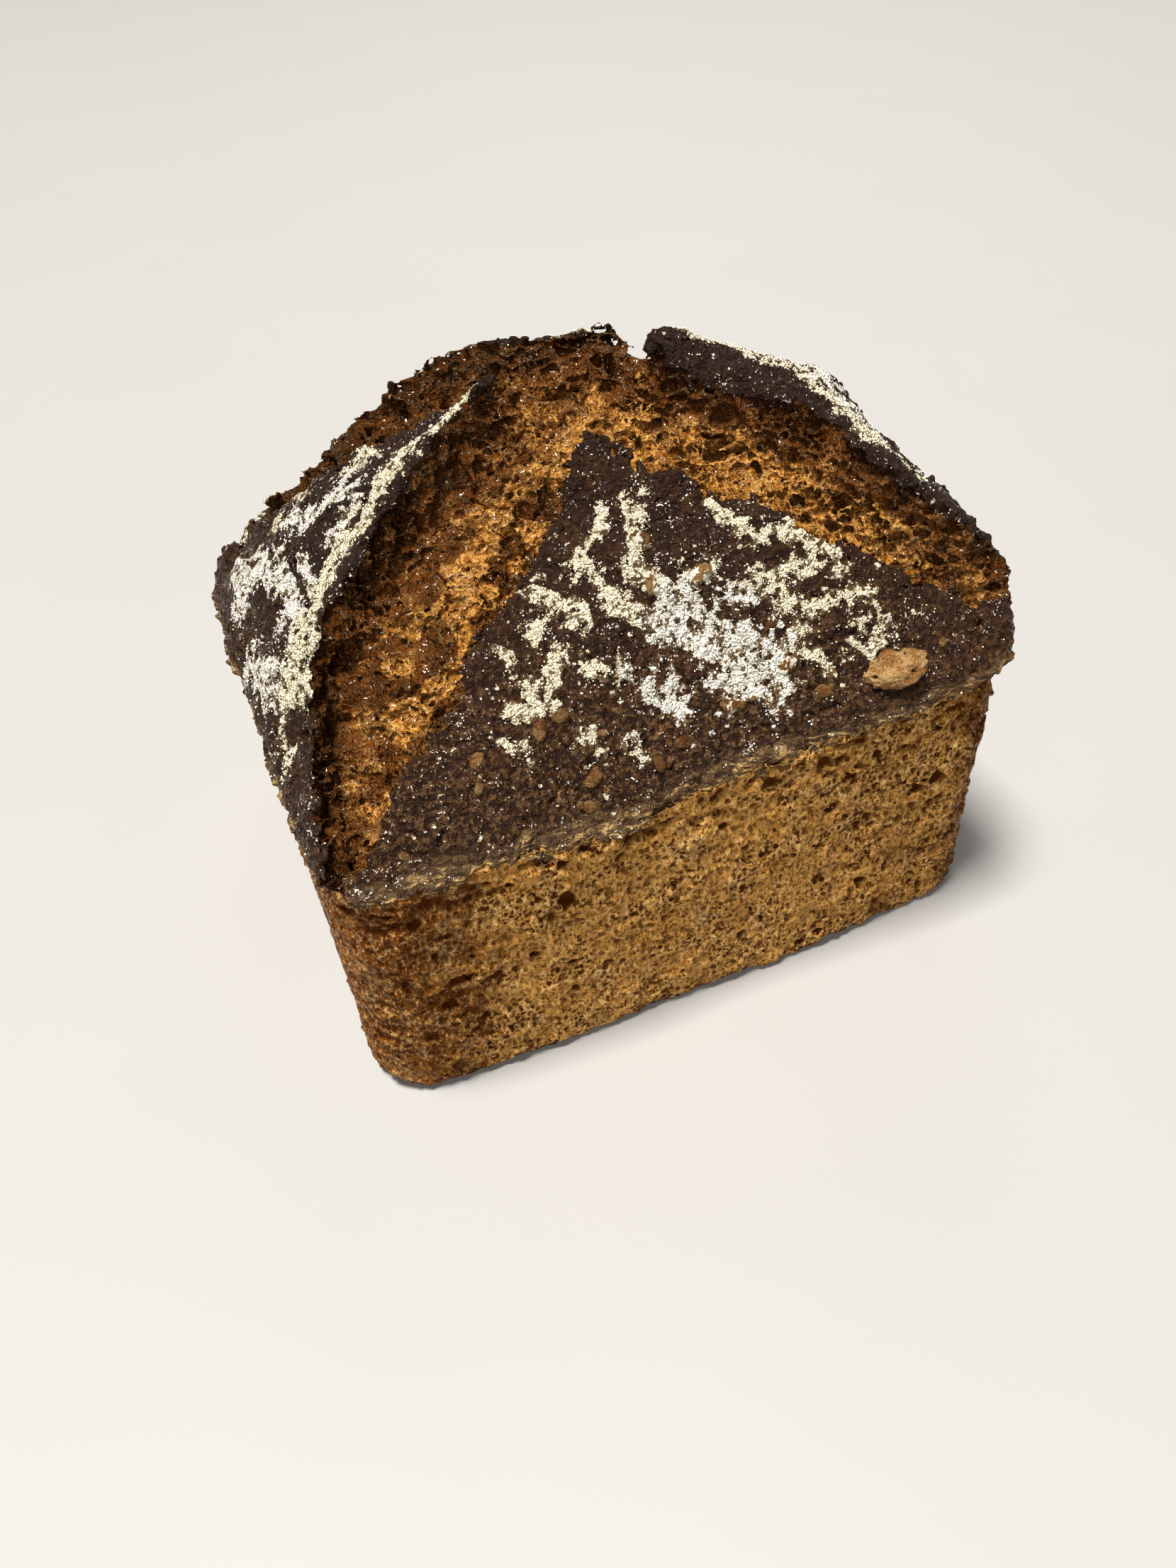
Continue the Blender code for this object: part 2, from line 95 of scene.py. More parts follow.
# Edges of the four flaps, each from near the middle out to a corner of the tin (x, y, z).
FRONT_LEFT_EDGE = [(4, -8, 94), (-3, -12, 86), (-10, -18, 80), (-19, -24, 76.5), (-28, -31, 73),
                   (-36, -38, 69), (-44, -43, 65), (-50, -47, 59), (-57, -51, 53)]
FRONT_RIGHT_EDGE = [(4, -8, 94), (13, -18, 89), (22, -23, 86), (28, -30, 83), (35, -36, 79),
                    (47, -43, 72), (57, -49, 66.5), (62, -49, 66), (67, -47, 63)]
LEFT_FRONT_EDGE = [(-10, 1, 103), (-18, 0, 98), (-25, -2, 94), (-33, -7, 89), (-39, -10, 84),
                   (-46, -14, 79), (-52, -20, 72), (-56, -31, 65), (-58, -40, 60), (-61, -50, 53)]
LEFT_BACK_EDGE = [(-10, 1, 103), (-17, 9, 96), (-25, 15, 90), (-34, 23, 83), (-43, 32, 74),
                  (-53, 43, 63), (-59, 50, 56)]
RIGHT_FRONT_EDGE = [(21, 3, 103), (22, -1, 99), (28, -5, 98), (33, -8, 96.5), (38, -14, 95),
                    (42, -21, 93), (44, -27, 91), (48, -32, 88), (52, -38, 84), (59, -42, 78),
                    (65, -45, 72)]
RIGHT_BACK_EDGE = [(21, 3, 103), (27, 9, 97), (35, 19, 84), (46, 33, 70), (60, 47, 58)]
BACK_LEFT_EDGE = [(15, 17, 100), (4, 18, 101), (-5, 24, 100), (-13, 29, 97), (-23, 35, 89),
                  (-32, 40, 81), (-42, 45, 71), (-54, 51, 57)]
BACK_RIGHT_EDGE = [(15, 17, 100), (20, 18, 98.5), (24, 23, 90), (29, 29, 80), (40, 39, 69), (54, 51, 57)]

# Points that the flaps' upper faces pass through besides their edges: bulge and foot.
FRONT_FACE = [(-45, -55, 52), (-20, -55, 52), (5, -55, 53), (30, -55, 58), (50, -56, 60),
              (-30, -42, 67), (0, -32, 78), (0, -44, 65), (28, -44, 71), (8, -20, 87)]
LEFT_FACE = [(-63, -35, 55), (-63, -15, 56), (-63, 8, 56), (-63, 30, 56), (-55, -8, 70),
             (-48, 8, 77), (-35, 8, 89), (-55, 22, 68)]
RIGHT_FACE = [(25, 2, 103.6), (31, 0, 101.5), (37, -4, 99), (44, -6, 96.6), (50, -9, 94.5), (58, -17, 82),
              (62, -31, 78), (36, 6, 95), (45, 5, 87), (59, 0, 79), (50, 14, 78), (58, 26, 66),
              (67, 30, 58), (67, 8, 64), (67, -10, 70), (67, -30, 68)]
BACK_FACE = [(-36, 56, 56), (-12, 56, 57), (12, 56, 57), (36, 56, 57), (-14, 42, 82),
             (4, 40, 88), (22, 42, 80)]

# Crumb between the flaps, from the middle of the crown out to the corners.
CRUMB_POINTS = [(8, 2, 95), (0, 4, 98), (-6, -6, 91), (12, 10, 99), (2, 12, 100), (17, -12, 89),
                (12, -7, 92), (19, 3, 94), (26, -9, 88), (34, -14, 84), (41, -20, 82),
                (45, -27, 80), (52, -37, 76),
                (-16, 1, 90), (-23, 0, 88), (-30, -4, 83), (-36, -9, 78), (-41, -12, 75),
                (-47, -19, 68), (-52, -27, 62), (-56, -36, 56), (-59, -47, 50),
                (-10, -12, 86), (-20, -14, 81), (-28, -21, 76), (-36, -29, 71), (-44, -36, 64),
                (-51, -42, 57),
                (24, -17, 85), (30, -22, 82), (37, -27, 79), (43, -31, 77), (49, -36, 73),
                (56, -42, 68), (61, -45, 64),
                (-8, 14, 96), (-18, 22, 88), (-28, 31, 79), (-39, 38, 69), (-52, 47, 56),
                (22, 12, 97), (32, 24, 79), (43, 36, 65), (56, 49, 54)]
CRUMB_UNDER_FRONT_EDGES = 3.0
CRUMB_UNDER_FACES = 8.0
CRUMB_STEEPNESS = 1.3

FLAP_EDGE_RADIUS = 1.2
EDGE_CURL = 0.8
EDGE_CURL_WIDTH = 3.0
FLAP_CREASE = 1.2
FLAP_STEEPEST = 3.0
OUTER_CORNER = 130.0
TORN_BELOW = 2.0
TORN_REACH = 4.0

# Hollows torn into the crumb: centre and half sizes.
HOLLOWS = [((-14, -2, 93), (8, 3.5, 4.0)), ((-27, -8, 86), (6, 3.0, 3.5)),
           ((21, -2, 95), (3.5, 4.0, 5.0)), ((34, -17, 86), (8, 3.0, 3.0)),
           ((4, 4, 98), (3.5, 3.0, 3.5)), ((-20, 17, 93), (8, 4.0, 4.0))]
HOLLOW_EDGE = 1.5

CRAG_WAVELENGTH = 5.0
CRAG_DEPTH = 2.2
WRINKLE_WAVELENGTH = 8.0
WRINKLE_DEPTH = 1.0
WALL_WRINKLE = 0.25
WALL_SWELL_WAVELENGTH = 24.0
WALL_SWELL = 0.6
NOISE_SEED = 7
SPLINE_EASE = 4.0
FAR_AWAY = 99.0

# Noise lattices repeat after this many places a side, as powers of two, and are read from an
# offset that keeps places above 0.
LATTICE_BITS = 6
LATTICE_OFFSET = 100.0
CELL_BITS = 5
CELL_OFFSET = 64.0
FOLD_SHARPNESS = 2.5

Flap = namedtuple("Flap", "name first_edge second_edge face corners lean browned burnt")
LEFT_FRONT = (-OUTER_CORNER, -OUTER_CORNER)
RIGHT_FRONT = (OUTER_CORNER, -OUTER_CORNER)
LEFT_BACK = (-OUTER_CORNER, OUTER_CORNER)
RIGHT_BACK = (OUTER_CORNER, OUTER_CORNER)

# The four flaps: edges, face, how far a torn side leans out, and its crumb's browned reach and depth.
FLAPS = [
    Flap("front", FRONT_LEFT_EDGE, FRONT_RIGHT_EDGE, FRONT_FACE, [LEFT_FRONT, RIGHT_FRONT], 0.15, 2.2, 0.8),
    Flap("left", LEFT_FRONT_EDGE, LEFT_BACK_EDGE, LEFT_FACE, [LEFT_FRONT, LEFT_BACK], 0.3, 11.0, 1.0),
    Flap("right", RIGHT_FRONT_EDGE, RIGHT_BACK_EDGE, RIGHT_FACE, [RIGHT_FRONT, RIGHT_BACK], 0.5, 6.0, 1.0),
    Flap("back", BACK_LEFT_EDGE, BACK_RIGHT_EDGE, BACK_FACE, [LEFT_BACK, RIGHT_BACK], 0.4, 18.0, 1.0),
]

# Grains baked into the crust: plan place, length, width and turn; the first is a nut piece.
KERNELS = [(38.5, -52.7, 11.2, 6.0, -8), (5.0, -26.0, 3.2, 3.0, 0), (4.0, -32.0, 5.2, 2.6, 70),
           (12.0, -33.5, 4.6, 3.2, 20), (10.5, -48.5, 4.6, 3.0, -15), (1.3, -49.2, 4.2, 2.6, 10),
           (-15.5, -49.5, 3.6, 2.4, 35), (-21.6, -43.1, 4.2, 2.6, 60), (-17.7, -42.1, 3.4, 2.4, 0),
           (-33.0, -45.0, 3.4, 2.2, 50), (21.0, -47.5, 3.8, 2.6, 30)]

# Shares of its width by which the nut piece, the first kernels after it and the rest are sunk.
NUT_SUNK = 0.36
KERNEL_SUNK = 0.62
SMALL_GRAIN_SUNK = 0.6
FIRST_SMALLER_KERNEL = 5

# ---------------------------------------------------------------- flour

# Strokes of flour in plan: from x, y to x, y, and width.
FLOUR_STROKES = [
    (1, -17, 0, -20, 0.7), (6, -21, 0, -32, 1.4), (-6, -23, 0, -21, 1.0), (-6, -23, -2, -34, 2.1),
    (-14, -24, -9, -32, 2.4), (-17, -30, -10, -29, 1.6), (-13, -34, -22, -39, 1.8),
    (2, -28, 4, -34, 1.5), (0, -35, 9, -42, 4.0), (9, -42, 19, -47, 4.8), (9, -34, 15, -33, 1.4),
    (14, -38, 25, -38, 2.4), (25, -38, 35, -39, 2.0), (18, -24, 22, -32, 1.0),
    (25, -32, 35, -39, 1.5), (24, -44, 24, -47, 1.2), (27, -49, 26, -52, 1.0),
    (32, -48, 40, -49, 1.5), (27, -43, 39, -44, 1.1), (-11, -38, -9, -40, 1.6),
    (-5, -41, 2, -46, 2.3), (7, -43, 16, -50, 2.8), (-20, -39, -13, -34, 1.8),
    (-15, -45, -14, -46, 1.4), (-28, -44, -25, -46, 0.7), (-23, -32, -23, -36, 0.8),
    (6, -18, 8, -19, 0.6), (-25, -40, -19, -41, 1.4), (-7, -48, -7, -50, 0.8),
    (21, -42, 24, -41, 1.9), (5, -35, 11, -39, 2.4),
    (-14, 2, -18, 2, 1.8), (-18, 2, -25, 1, 2.6), (-28, 1, -35, -4, 3.6),
    (-35, -4, -42, -7, 3.8), (-42, -7, -48, -10, 3.6), (-48, -10, -54, -16, 3.2),
    (-56, 31, -58, 16, 3.0), (-53, 25, -50, 0, 2.6), (-47, 31, -44, 8, 2.2),
    (-47, 2, -47, -8, 1.4), (-29, 30, -30, 10, 2.2), (-58, -10, -57, -19, 1.8),
    (-54, -16, -53, -24, 1.5), (10, 18, 20, 19, 2.2),
    (-37, 8, -21, 29, 3.0), (-44, 11, -35, 5, 1.8), (-51, 5, -50, -18, 2.5),
    (-41, -1, -36, 0, 2.5), (-56, 20, -50, 12, 2.2), (-61, 6, -58, -13, 1.8),
    (-46, 46, -41, 24, 1.5), (-53, -4, -53, -20, 1.6), (-60, -20, -60, -27, 1.2),
    (27, 4, 38, -2, 3.2), (38, -3, 45, -9, 4.4), (45, -9, 49, -17, 5.6),
    (49, -17, 49, -26, 4.6), (49, -27, 56, -34, 1.6),
]

# ---------------------------------------------------------------- fine grid

# Steps a side of the blocks that are worked out finely, and how many are taken at once.
BLOCK = 4
BLOCKS_AT_ONCE = 8000
UNTOUCHED = 9.0

# Lowest and highest corner of each grid, and how far from the surface it is worked out finely.
CROWN_BOX = ((-68.0, -60.0, 47.0), (70.0, 58.0, 108.0))
CROWN_BAND = 4.5
SIDE_BOX = ((-66.0, -60.0, -3.0), (70.0, 56.0, 61.0))
SIDE_BAND = 2.6

# How far crown and sides pass each other at the rim line, and what is cut off above the grid's
# lower end.
CROWN_BELOW_RIM = 1.0
SIDE_ABOVE_RIM = 0.9
GRID_MARGIN = 1.0

# Beyond these plan places the loaf is made at a wider step, with a little overlap.
FAR_FROM_X = 57.0
FAR_RIGHT_FROM_Y = -24.0
FAR_FROM_Y = 21.0
SIDE_FAR_FROM_Y = -38.0
FAR_OVERLAP = 0.8
FAR_MARGIN = 4.0

# The base is a coarser piece inside the sides' lower edge.
BASE_STEP = 1.5
BASE_INSET = 6.0
BASE_OVERLAP = 1.0
BASE_TOP = 1.0

CRUMB_SPLITS_X = (-8.0, 19.0)


def clean_mesh(name, points, faces):
    """Mesh from arrays of points in metres and of quads or triangles."""
    mesh = bpy.data.meshes.new(name)
    mesh.vertices.add(len(points))
    mesh.vertices.foreach_set("co", np.asarray(points, dtype=np.float32).ravel())
    mesh.loops.add(faces.size)
    mesh.loops.foreach_set("vertex_index", faces.ravel().astype(np.int32))
    mesh.polygons.add(len(faces))
    mesh.polygons.foreach_set("loop_start", np.arange(0, faces.size, faces.shape[1], dtype=np.int32))
    mesh.polygons.foreach_set("use_smooth", np.ones(len(faces), dtype=bool))
    mesh.update(calc_edges=True)
    return mesh


def smooth_greatest(first, second, radius):
    """Greater of two distances, with the crease between them rounded to a radius."""
    blend = np.clip(0.5 + 0.5 * (first - second) / radius, 0.0, 1.0)
    return first * blend + second * (1.0 - blend) + radius * blend * (1.0 - blend)


def smooth_least(first, second, radius):
    """Lesser of two distances, with the crease between them filled to a radius."""
    return -smooth_greatest(-first, -second, radius)


def smooth_step(value):
    """Ramp from 0 to 1 with flat ends."""
    share = np.clip(value, 0.0, 1.0)
    return share * share * (3.0 - 2.0 * share)


def ease(value, start, reach):
    """Smooth ramp of a value, 0 at the start and 1 a reach beyond it; a reach below 0 runs down."""
    return smooth_step((value - start) / reach)


def hump(value, middle, reach):
    """Bell curve of a value about its middle."""
    return np.exp(-((value - middle) / reach) ** 2)


def ellipsoid(x, y, z, centre, half):
    """Distance from a centre in shares of the half sizes, so that it is 1 on the ellipsoid."""
    return np.sqrt(sum(((axis - middle) / reach) ** 2
                       for axis, middle, reach in zip((x, y, z), centre, half)))


def spline_kernel(square):
    """Thin-plate kernel of a squared distance."""
    return square * np.log(square + 1.0e-9)


def height_through(points, x, y):
    """Height of the thin-plate surface through points, at plan positions x and y."""
    known = np.array(points, dtype=float)
    gap_x = known[:, None, 0] - known[None, :, 0]
    gap_y = known[:, None, 1] - known[None, :, 1]
    count = len(known)
    system = np.zeros((count + 3, count + 3))
    system[:count, :count] = spline_kernel(gap_x ** 2 + gap_y ** 2) + np.eye(count) * SPLINE_EASE
    system[:count, count] = 1.0
    system[:count, count + 1:] = known[:, :2]
    system[count:, :count] = system[:count, count:].T
    weights = np.linalg.solve(system, np.concatenate([known[:, 2], np.zeros(3)]))
    height = weights[count] + weights[count + 1] * x + weights[count + 2] * y
    for (px, py, _), weight in zip(known, weights):
        height = height + weight * spline_kernel((x - px) ** 2 + (y - py) ** 2)
    return height


def stroke_distance(start, end, x, y):
    """Plan distance to a straight stroke."""
    run_x = end[0] - start[0]
    run_y = end[1] - start[1]
    along = ((x - start[0]) * run_x + (y - start[1]) * run_y) / (run_x ** 2 + run_y ** 2)
    along = np.clip(along, 0.0, 1.0)
    return np.hypot(x - start[0] - along * run_x, y - start[1] - along * run_y)


def outline_distance(corners, x, y):
    """Signed plan distance to a closed outline, negative inside it."""
    nearest = np.full(np.broadcast(x, y).shape, np.inf)
    inside = np.zeros(nearest.shape, dtype=bool)
    for (ax, ay), (bx, by) in zip(corners, corners[1:] + corners[:1]):
        nearest = np.minimum(nearest, stroke_distance((ax, ay), (bx, by), x, y))
        if ay != by:
            crosses = (ay > y) != (by > y)
            inside ^= crosses & (x < ax + (y - ay) / (by - ay) * (bx - ax))
    return np.where(inside, -nearest, nearest)


@functools.cache
def lattice_values(seed):
    """Seeded values from -1 to 1 on a repeating lattice."""
    draws = np.random.default_rng(seed).uniform(-1.0, 1.0, (1 << LATTICE_BITS,) * 3)
    return draws.astype(np.float32).ravel()


def lattice_noise(x, y, z, wavelength, seed):
    """Smooth noise from -1 to 1; its wavelength is one number, or one for each axis."""
    values = lattice_values(seed)
    wavelengths = wavelength if isinstance(wavelength, tuple) else (wavelength,) * 3
    last = (1 << LATTICE_BITS) - 1
    low = []
    share = []
    for axis, length in zip((x, y, z), wavelengths):
        scaled = axis / length + LATTICE_OFFSET
        whole = np.floor(scaled)
        low.append(whole.astype(np.int32))
        share.append(smooth_step(scaled - whole))
    total = 0.0
    for dx in (0, 1):
        place_x = ((low[0] + dx) & last) << 2 * LATTICE_BITS
        weight_x = np.abs(1 - dx - share[0])
        for dy in (0, 1):
            place_y = place_x | (((low[1] + dy) & last) << LATTICE_BITS)
            weight_y = weight_x * np.abs(1 - dy - share[1])
            for dz in (0, 1):
                weight = weight_y * np.abs(1 - dz - share[2])
                total = total + weight * values[place_y | ((low[2] + dz) & last)]
    return total


def folds(x, y, z, wavelength, seed):
    """Noise folded into narrow creases: 0 in a crease and up to 1 between them."""
    return np.minimum(np.abs(lattice_noise(x, y, z, wavelength, seed)) * FOLD_SHARPNESS, 1.0)


def layered(kind, x, y, z, layers):
    """Sum of noises of one kind, each given by its height, wavelength and seed."""
    total = 0.0
    for height, wavelength, seed in layers:
        total = total + height * kind(x, y, z, wavelength, seed)
    return total


@functools.cache
def cell_draws(seed):
    """Seeded place of a centre within each cell of a repeating lattice, and one more draw."""
    draws = np.random.default_rng(seed).uniform(0.0, 1.0, (4, 1 << 3 * CELL_BITS)).astype(np.float32)
    draws[:3] = 0.1 + 0.8 * draws[:3]
    return draws


def cells(x, y, z, size, seed):
    """Distance to the nearest and the next cell centre, that centre's offset, and its draw."""
    draws = cell_draws(seed)
    last = (1 << CELL_BITS) - 1
    scaled = [axis / size + CELL_OFFSET for axis in (x, y, z)]
    low = [np.floor(axis).astype(np.int32) for axis in scaled]
    nearest = np.full(x.shape, 9.0, dtype=np.float32)
    following = nearest.copy()
    draw = np.zeros_like(nearest)
    centre = [np.zeros_like(nearest) for _ in range(3)]
    for steps in itertools.product((-1, 0, 1), repeat=3):
        code = 0
        for axis, step in zip(low, steps):
            code = (code << CELL_BITS) | ((axis + step) & last)
        gap = [draws[axis][code] + (low[axis] + step - scaled[axis]) for axis, step in enumerate(steps)]
        square = gap[0] ** 2 + gap[1] ** 2 + gap[2] ** 2
        closer = square < nearest
        following = np.where(closer, nearest, np.minimum(following, square))
        nearest = np.where(closer, square, nearest)
        draw = np.where(closer, draws[3][code], draw)
        centre = [np.where(closer, new, old) for new, old in zip(gap, centre)]
    return (np.sqrt(nearest) * size, np.sqrt(following) * size,
            [axis * size for axis in centre], draw)


def rim_height(x, y):
    """Height of the line that the tin's rim left, which rises at the front right."""
    wave = RIM_WAVE * np.sin(x / RIM_WAVE_REACH)
    ripple = RIM_RIPPLE * np.sin(x / RIM_RIPPLE_REACH_X + y / RIM_RIPPLE_REACH_Y)
    front = ease(y, 0.0, -RIM_FRONT_REACH)
    climb = RIM_RISE_FRONT_RIGHT * ease(x, RIM_RISE_START, RIM_RISE_REACH)
    return RIM_HEIGHT + wave + ripple + front * (climb - RIM_DROP_FRONT)


def stroke_field(x, y):
    """Plan distance to the nearest stroke of flour, negative inside one."""
    nearest = np.full(np.broadcast(x, y).shape, FAR_AWAY)
    for x1, y1, x2, y2, width in FLOUR_STROKES:
        nearest = np.minimum(nearest, stroke_distance((x1, y1), (x2, y2), x, y) - width / 2.0)
    return nearest


def plan_maps(x, y, step):
    """All that depends on the plan place alone: heights, slopes, edges, rim and flour."""
    sunk = [(px, py, pz - CRUMB_UNDER_FRONT_EDGES)
            for px, py, pz in FRONT_LEFT_EDGE + FRONT_RIGHT_EDGE[1:]]
    for flap in FLAPS:
        sunk += [(px, py, pz - CRUMB_UNDER_FACES) for px, py, pz in flap.face]
    maps = {"crumb": height_through(CRUMB_POINTS + sunk, x, y), "rim": rim_height(x, y),
            "flour": stroke_field(x, y)}
    for flap in FLAPS:
        height = height_through(flap.first_edge + flap.second_edge[1:] + flap.face, x, y)
        slope = np.hypot(*np.gradient(height, step, step, axis=(0, 1)))
        outline = [point[:2] for point in flap.first_edge] + flap.corners
        outline += [point[:2] for point in reversed(flap.second_edge[1:])]
        edge = outline_distance(outline, x, y)
        maps[flap.name + "_height"] = height + EDGE_CURL * hump(edge, 0.0, EDGE_CURL_WIDTH)
        maps[flap.name + "_steep"] = np.sqrt(1.0 + np.minimum(slope, FLAP_STEEPEST) ** 2)
        maps[flap.name + "_edge"] = edge
    return {name: values.astype(np.float32) for name, values in maps.items()}


# The crown's distance, how each place lies to the crumb, the crust and a flap's edge, how far a
# browned lip reaches it, and the wrinkles there.
Crown = namedtuple("Crown", "distance crumb below beside toast wrinkles")


def wrinkles_at(x, y, z):
    """Wide wrinkles of crust and sides."""
    return WRINKLE_DEPTH * lattice_noise(x, y, z, WRINKLE_WAVELENGTH, NOISE_SEED + 1)


def crown_form(maps, x, y, z, ragged):
    """The crown at each place, with the flaps' edges moved by ragged."""
    crags = CRAG_DEPTH * lattice_noise(x, y, z, CRAG_WAVELENGTH, NOISE_SEED)
    wrinkles = wrinkles_at(x, y, z)
    crumb = (z - maps["crumb"]) / CRUMB_STEEPNESS + crags
    for centre, half in HOLLOWS:
        hollow = (1.0 - ellipsoid(x, y, z, centre, half)) * min(half)
        crumb = smooth_greatest(crumb, hollow, HOLLOW_EDGE)
    crown = crumb
    least = np.full(crumb.shape, FAR_AWAY, dtype=np.float32)
    below, beside, toast = [np.zeros(crumb.shape, dtype=np.float32) for _ in range(3)]
    for flap in FLAPS:
        height = maps[flap.name + "_height"] + np.zeros(crumb.shape, dtype=np.float32)
        edge = maps[flap.name + "_edge"] + ragged
        above = (z - height) / maps[flap.name + "_steep"]
        leaning = edge - flap.lean * np.maximum(height - z, 0.0)
        shape = smooth_greatest(above, leaning / math.hypot(1.0, flap.lean), FLAP_EDGE_RADIUS)
        torn = ease(height - z, TORN_BELOW, TORN_REACH)
        shape = shape + wrinkles * (1.0 - torn) + crags * torn
        crown = smooth_least(crown, shape, FLAP_CREASE)
        closer = shape < least
        least = np.where(closer, shape, least)
        below = np.where(closer, height - z, below)
        beside = np.where(closer, edge, beside)
        lip = np.sqrt(np.maximum(edge, 0.0) ** 2 + 0.5 * np.maximum(height - z, 0.0) ** 2)
        toast = np.maximum(toast, flap.burnt * np.exp(-(lip / flap.browned) ** 1.5))
    return Crown(crown, crumb - least, below, beside, toast, wrinkles)


def wall_form(x, y, z, wrinkles, proud):
    """Distance to the upright faces that the tin formed, stood out by some proud amount."""
    from_middle = x - BODY_CENTRE_X
    bulge = FRONT_BULGE * (y < 0.0) * (1.0 - (2.0 * from_middle / WIDTH) ** 2)
    side_x = np.abs(from_middle) - (WIDTH / 2.0 - CORNER_RADIUS) - proud
    side_y = np.abs(y - BODY_CENTRE_Y) - (DEPTH / 2.0 - CORNER_RADIUS) - proud - bulge
    corner = np.hypot(np.maximum(side_x, 0.0), np.maximum(side_y, 0.0))
    flat = np.minimum(np.maximum(side_x, side_y), 0.0)
    swell = WALL_SWELL * lattice_noise(x, y, z, WALL_SWELL_WAVELENGTH, NOISE_SEED + 2)
    return corner + flat - CORNER_RADIUS + WALL_WRINKLE * wrinkles + swell


# ---------------------------------------------------------------- fine relief

# Bubbles of the torn crumb: size, thickness of the skins between them, seed, and the share
# that opens in the fine-pored left gash and in the wide-pored right one.
BUBBLES = [(3.3, 0.5, 21, 0.3, 1.0), (1.9, 0.4, 22, 0.75, 0.85), (1.15, 0.36, 23, 0.9, 0.7)]
BUBBLE_FLATNESS = 1.35
BUBBLE_REACH = 0.55
BUBBLE_BEND = 1.1
BEND_WAVELENGTH = 4.5
BEND_SEED = 30
NO_VOID = -9.0

# Where the wide pores begin, as start and reach along x and y, and how many places open.
WIDE_PORES_X = (2.0, 12.0)
WIDE_PORES_Y = (12.0, -10.0)
LEAST_OPEN = 0.35
OPEN_SPREAD = 0.85
OPEN_PATCHES = (8.0, 34)
OPEN_CONTRAST = 1.6

# Ridges and threads of the torn crumb, flattened by this much.
TORN_FLATNESS = 1.3
TORN_THREADS = [(1.3, 3.0, 31), (0.6, 1.3, 32)]

# Layered noises, each as height, wavelength and seed.
TORN_GRAIN = [(0.4, 1.0, 33)]
LIP_TEARS = [(0.75, 2.8, 73), (0.4, 1.1, 74)]
RIM_TEARS = [(0.9, 4.2, 71), (0.45, 1.4, 72)]
RIM_LAYERS = [(0.55, (3.5, 3.5, 1.1), 75)]
SKIN_BORDER = [(0.8, 2.2, 77), (0.4, 0.9, 78)]
FLOUR_EDGE = [(1.5, 2.4, 41), (1.2, 1.15, 42)]
LEATHER_FOLDS = [(0.52, 2.9, 51), (0.4, 1.4, 52)]
LEATHER_GRAIN = [(0.2, 0.8, 56)]
FLOUR_FOLDS = [(0.5, 2.2, 55)]
FLOUR_GRAIN = [(0.4, 0.8, 57)]
SIDE_GRAIN = [(0.4, 1.2, 65), (0.45, 3.0, 66)]
SIDE_FOLDS = [(0.3, 5.0, 69)]
TORN_SIDE_FOLDS = [(0.5, 1.9, 71)]
BROWNED_PATCHES = [(0.35, 16.0, 58), (0.3, 6.0, 59)]

# Levels that set a relief about the form's own surface.
TORN_LEVEL = 0.8
CRUST_LEVEL = 0.4
SIDE_LEVEL = 0.2

# Where crust turns into torn crumb: its thickness, its flat top, and how soft the borders are.
CRUST_THICKNESS = 0.8
SKIN_SOFTNESS = 0.8
SKIN_TOP = (-0.9, -1.0)
SKIN_OVER_CRUMB = 0.2
SKIN_CRUMB_SOFTNESS = 0.6

FLOUR_BORDER = 2.4
FLOUR_THICKEST = 0.63

# Round beads on the crust: cells as size and seed, share that have one, height, edge and slope.
BEAD_CELLS = (2.3, 47)
BEAD_SHARE = 0.3
BEAD_HEIGHT = 0.55
BEAD_EDGE = (1.15, -0.75)

# Blisters and cracks of the crust, from noises given as wavelength and seed.
BLISTERS = (3.2, 53)
BLISTER_FROM = 0.3
BLISTER_HEIGHT = 1.2
CRACKS = (9.0, 54)
CRACK_WIDTH = 0.05
CRACK_DEPTH = 0.6

# Thick flour: how much cover makes it thick, the relief that it hides, and its own height.
THICK_FLOUR = (0.35, 0.4)
FLOUR_SMOOTHING = 0.6
FLOUR_HEIGHT = 0.4

# Fragments of flour: cells, share near a stroke and how fast it falls off, share far from one,
# radius, cover and soft edge.
FRAGMENT_CELLS = (1.5, 46)
FRAGMENT_SHARE = 0.5
FRAGMENT_REACH = 2.2
FRAGMENT_STRAY = 0.04
FRAGMENT_RADIUS = 0.62
FRAGMENT_COVER = 0.9
FRAGMENT_EDGE = 0.35

# Drifts of flour where the photograph doesn't show the crust: share, slope, and where they start.
DRIFT_SHARE = 0.22
DRIFT_SLOPE = 8.0
DRIFT_FROM_Y = 30.0
DRIFT_FROM_X = 50.0
DRIFT_RIGHT_FROM_Y = -30.0
DRIFT_PATCHES = ((4.0, 8.0, 8.0), 43)
NO_DRIFT = 20.0

# Flakes above the rim, and gaps between crust and side: noises, strengths and bands.
FLAKES = ((5.0, 5.0, 1.3), 79)
FLAKE_FROM = 0.2
FLAKE_DEPTH = 1.1
FLAKE_BAND = (1.7, 2.2)
GAPS = (5.0, 80)
GAP_SHARPNESS = 2.5
GAP_DEPTH = 1.3
GAP_BAND = (0.1, 0.55)
VOID_EDGE = 0.2

# White flour: the middle of its patch on the front flap, how much wider than deep the patch is,
# its edge, how far that flap reaches, and the edge of the white on the other flaps.
WHITE_X = 8.0
WHITE_Y = -45.0
WHITE_WIDENING = 1.25
WHITE_EDGE = (15.0, -6.0)
FRONT_UNTIL_Y = -18.0
FRONT_HALF_X = 40.0
OUTER_WHITE_EDGE = (-5.0, -5.0)

# A small black hole at the right end of the front flap: place and half sizes.
CRUST_HOLE = ((56.8, -51.7, 64.8), (0.8, 2.5, 1.1))

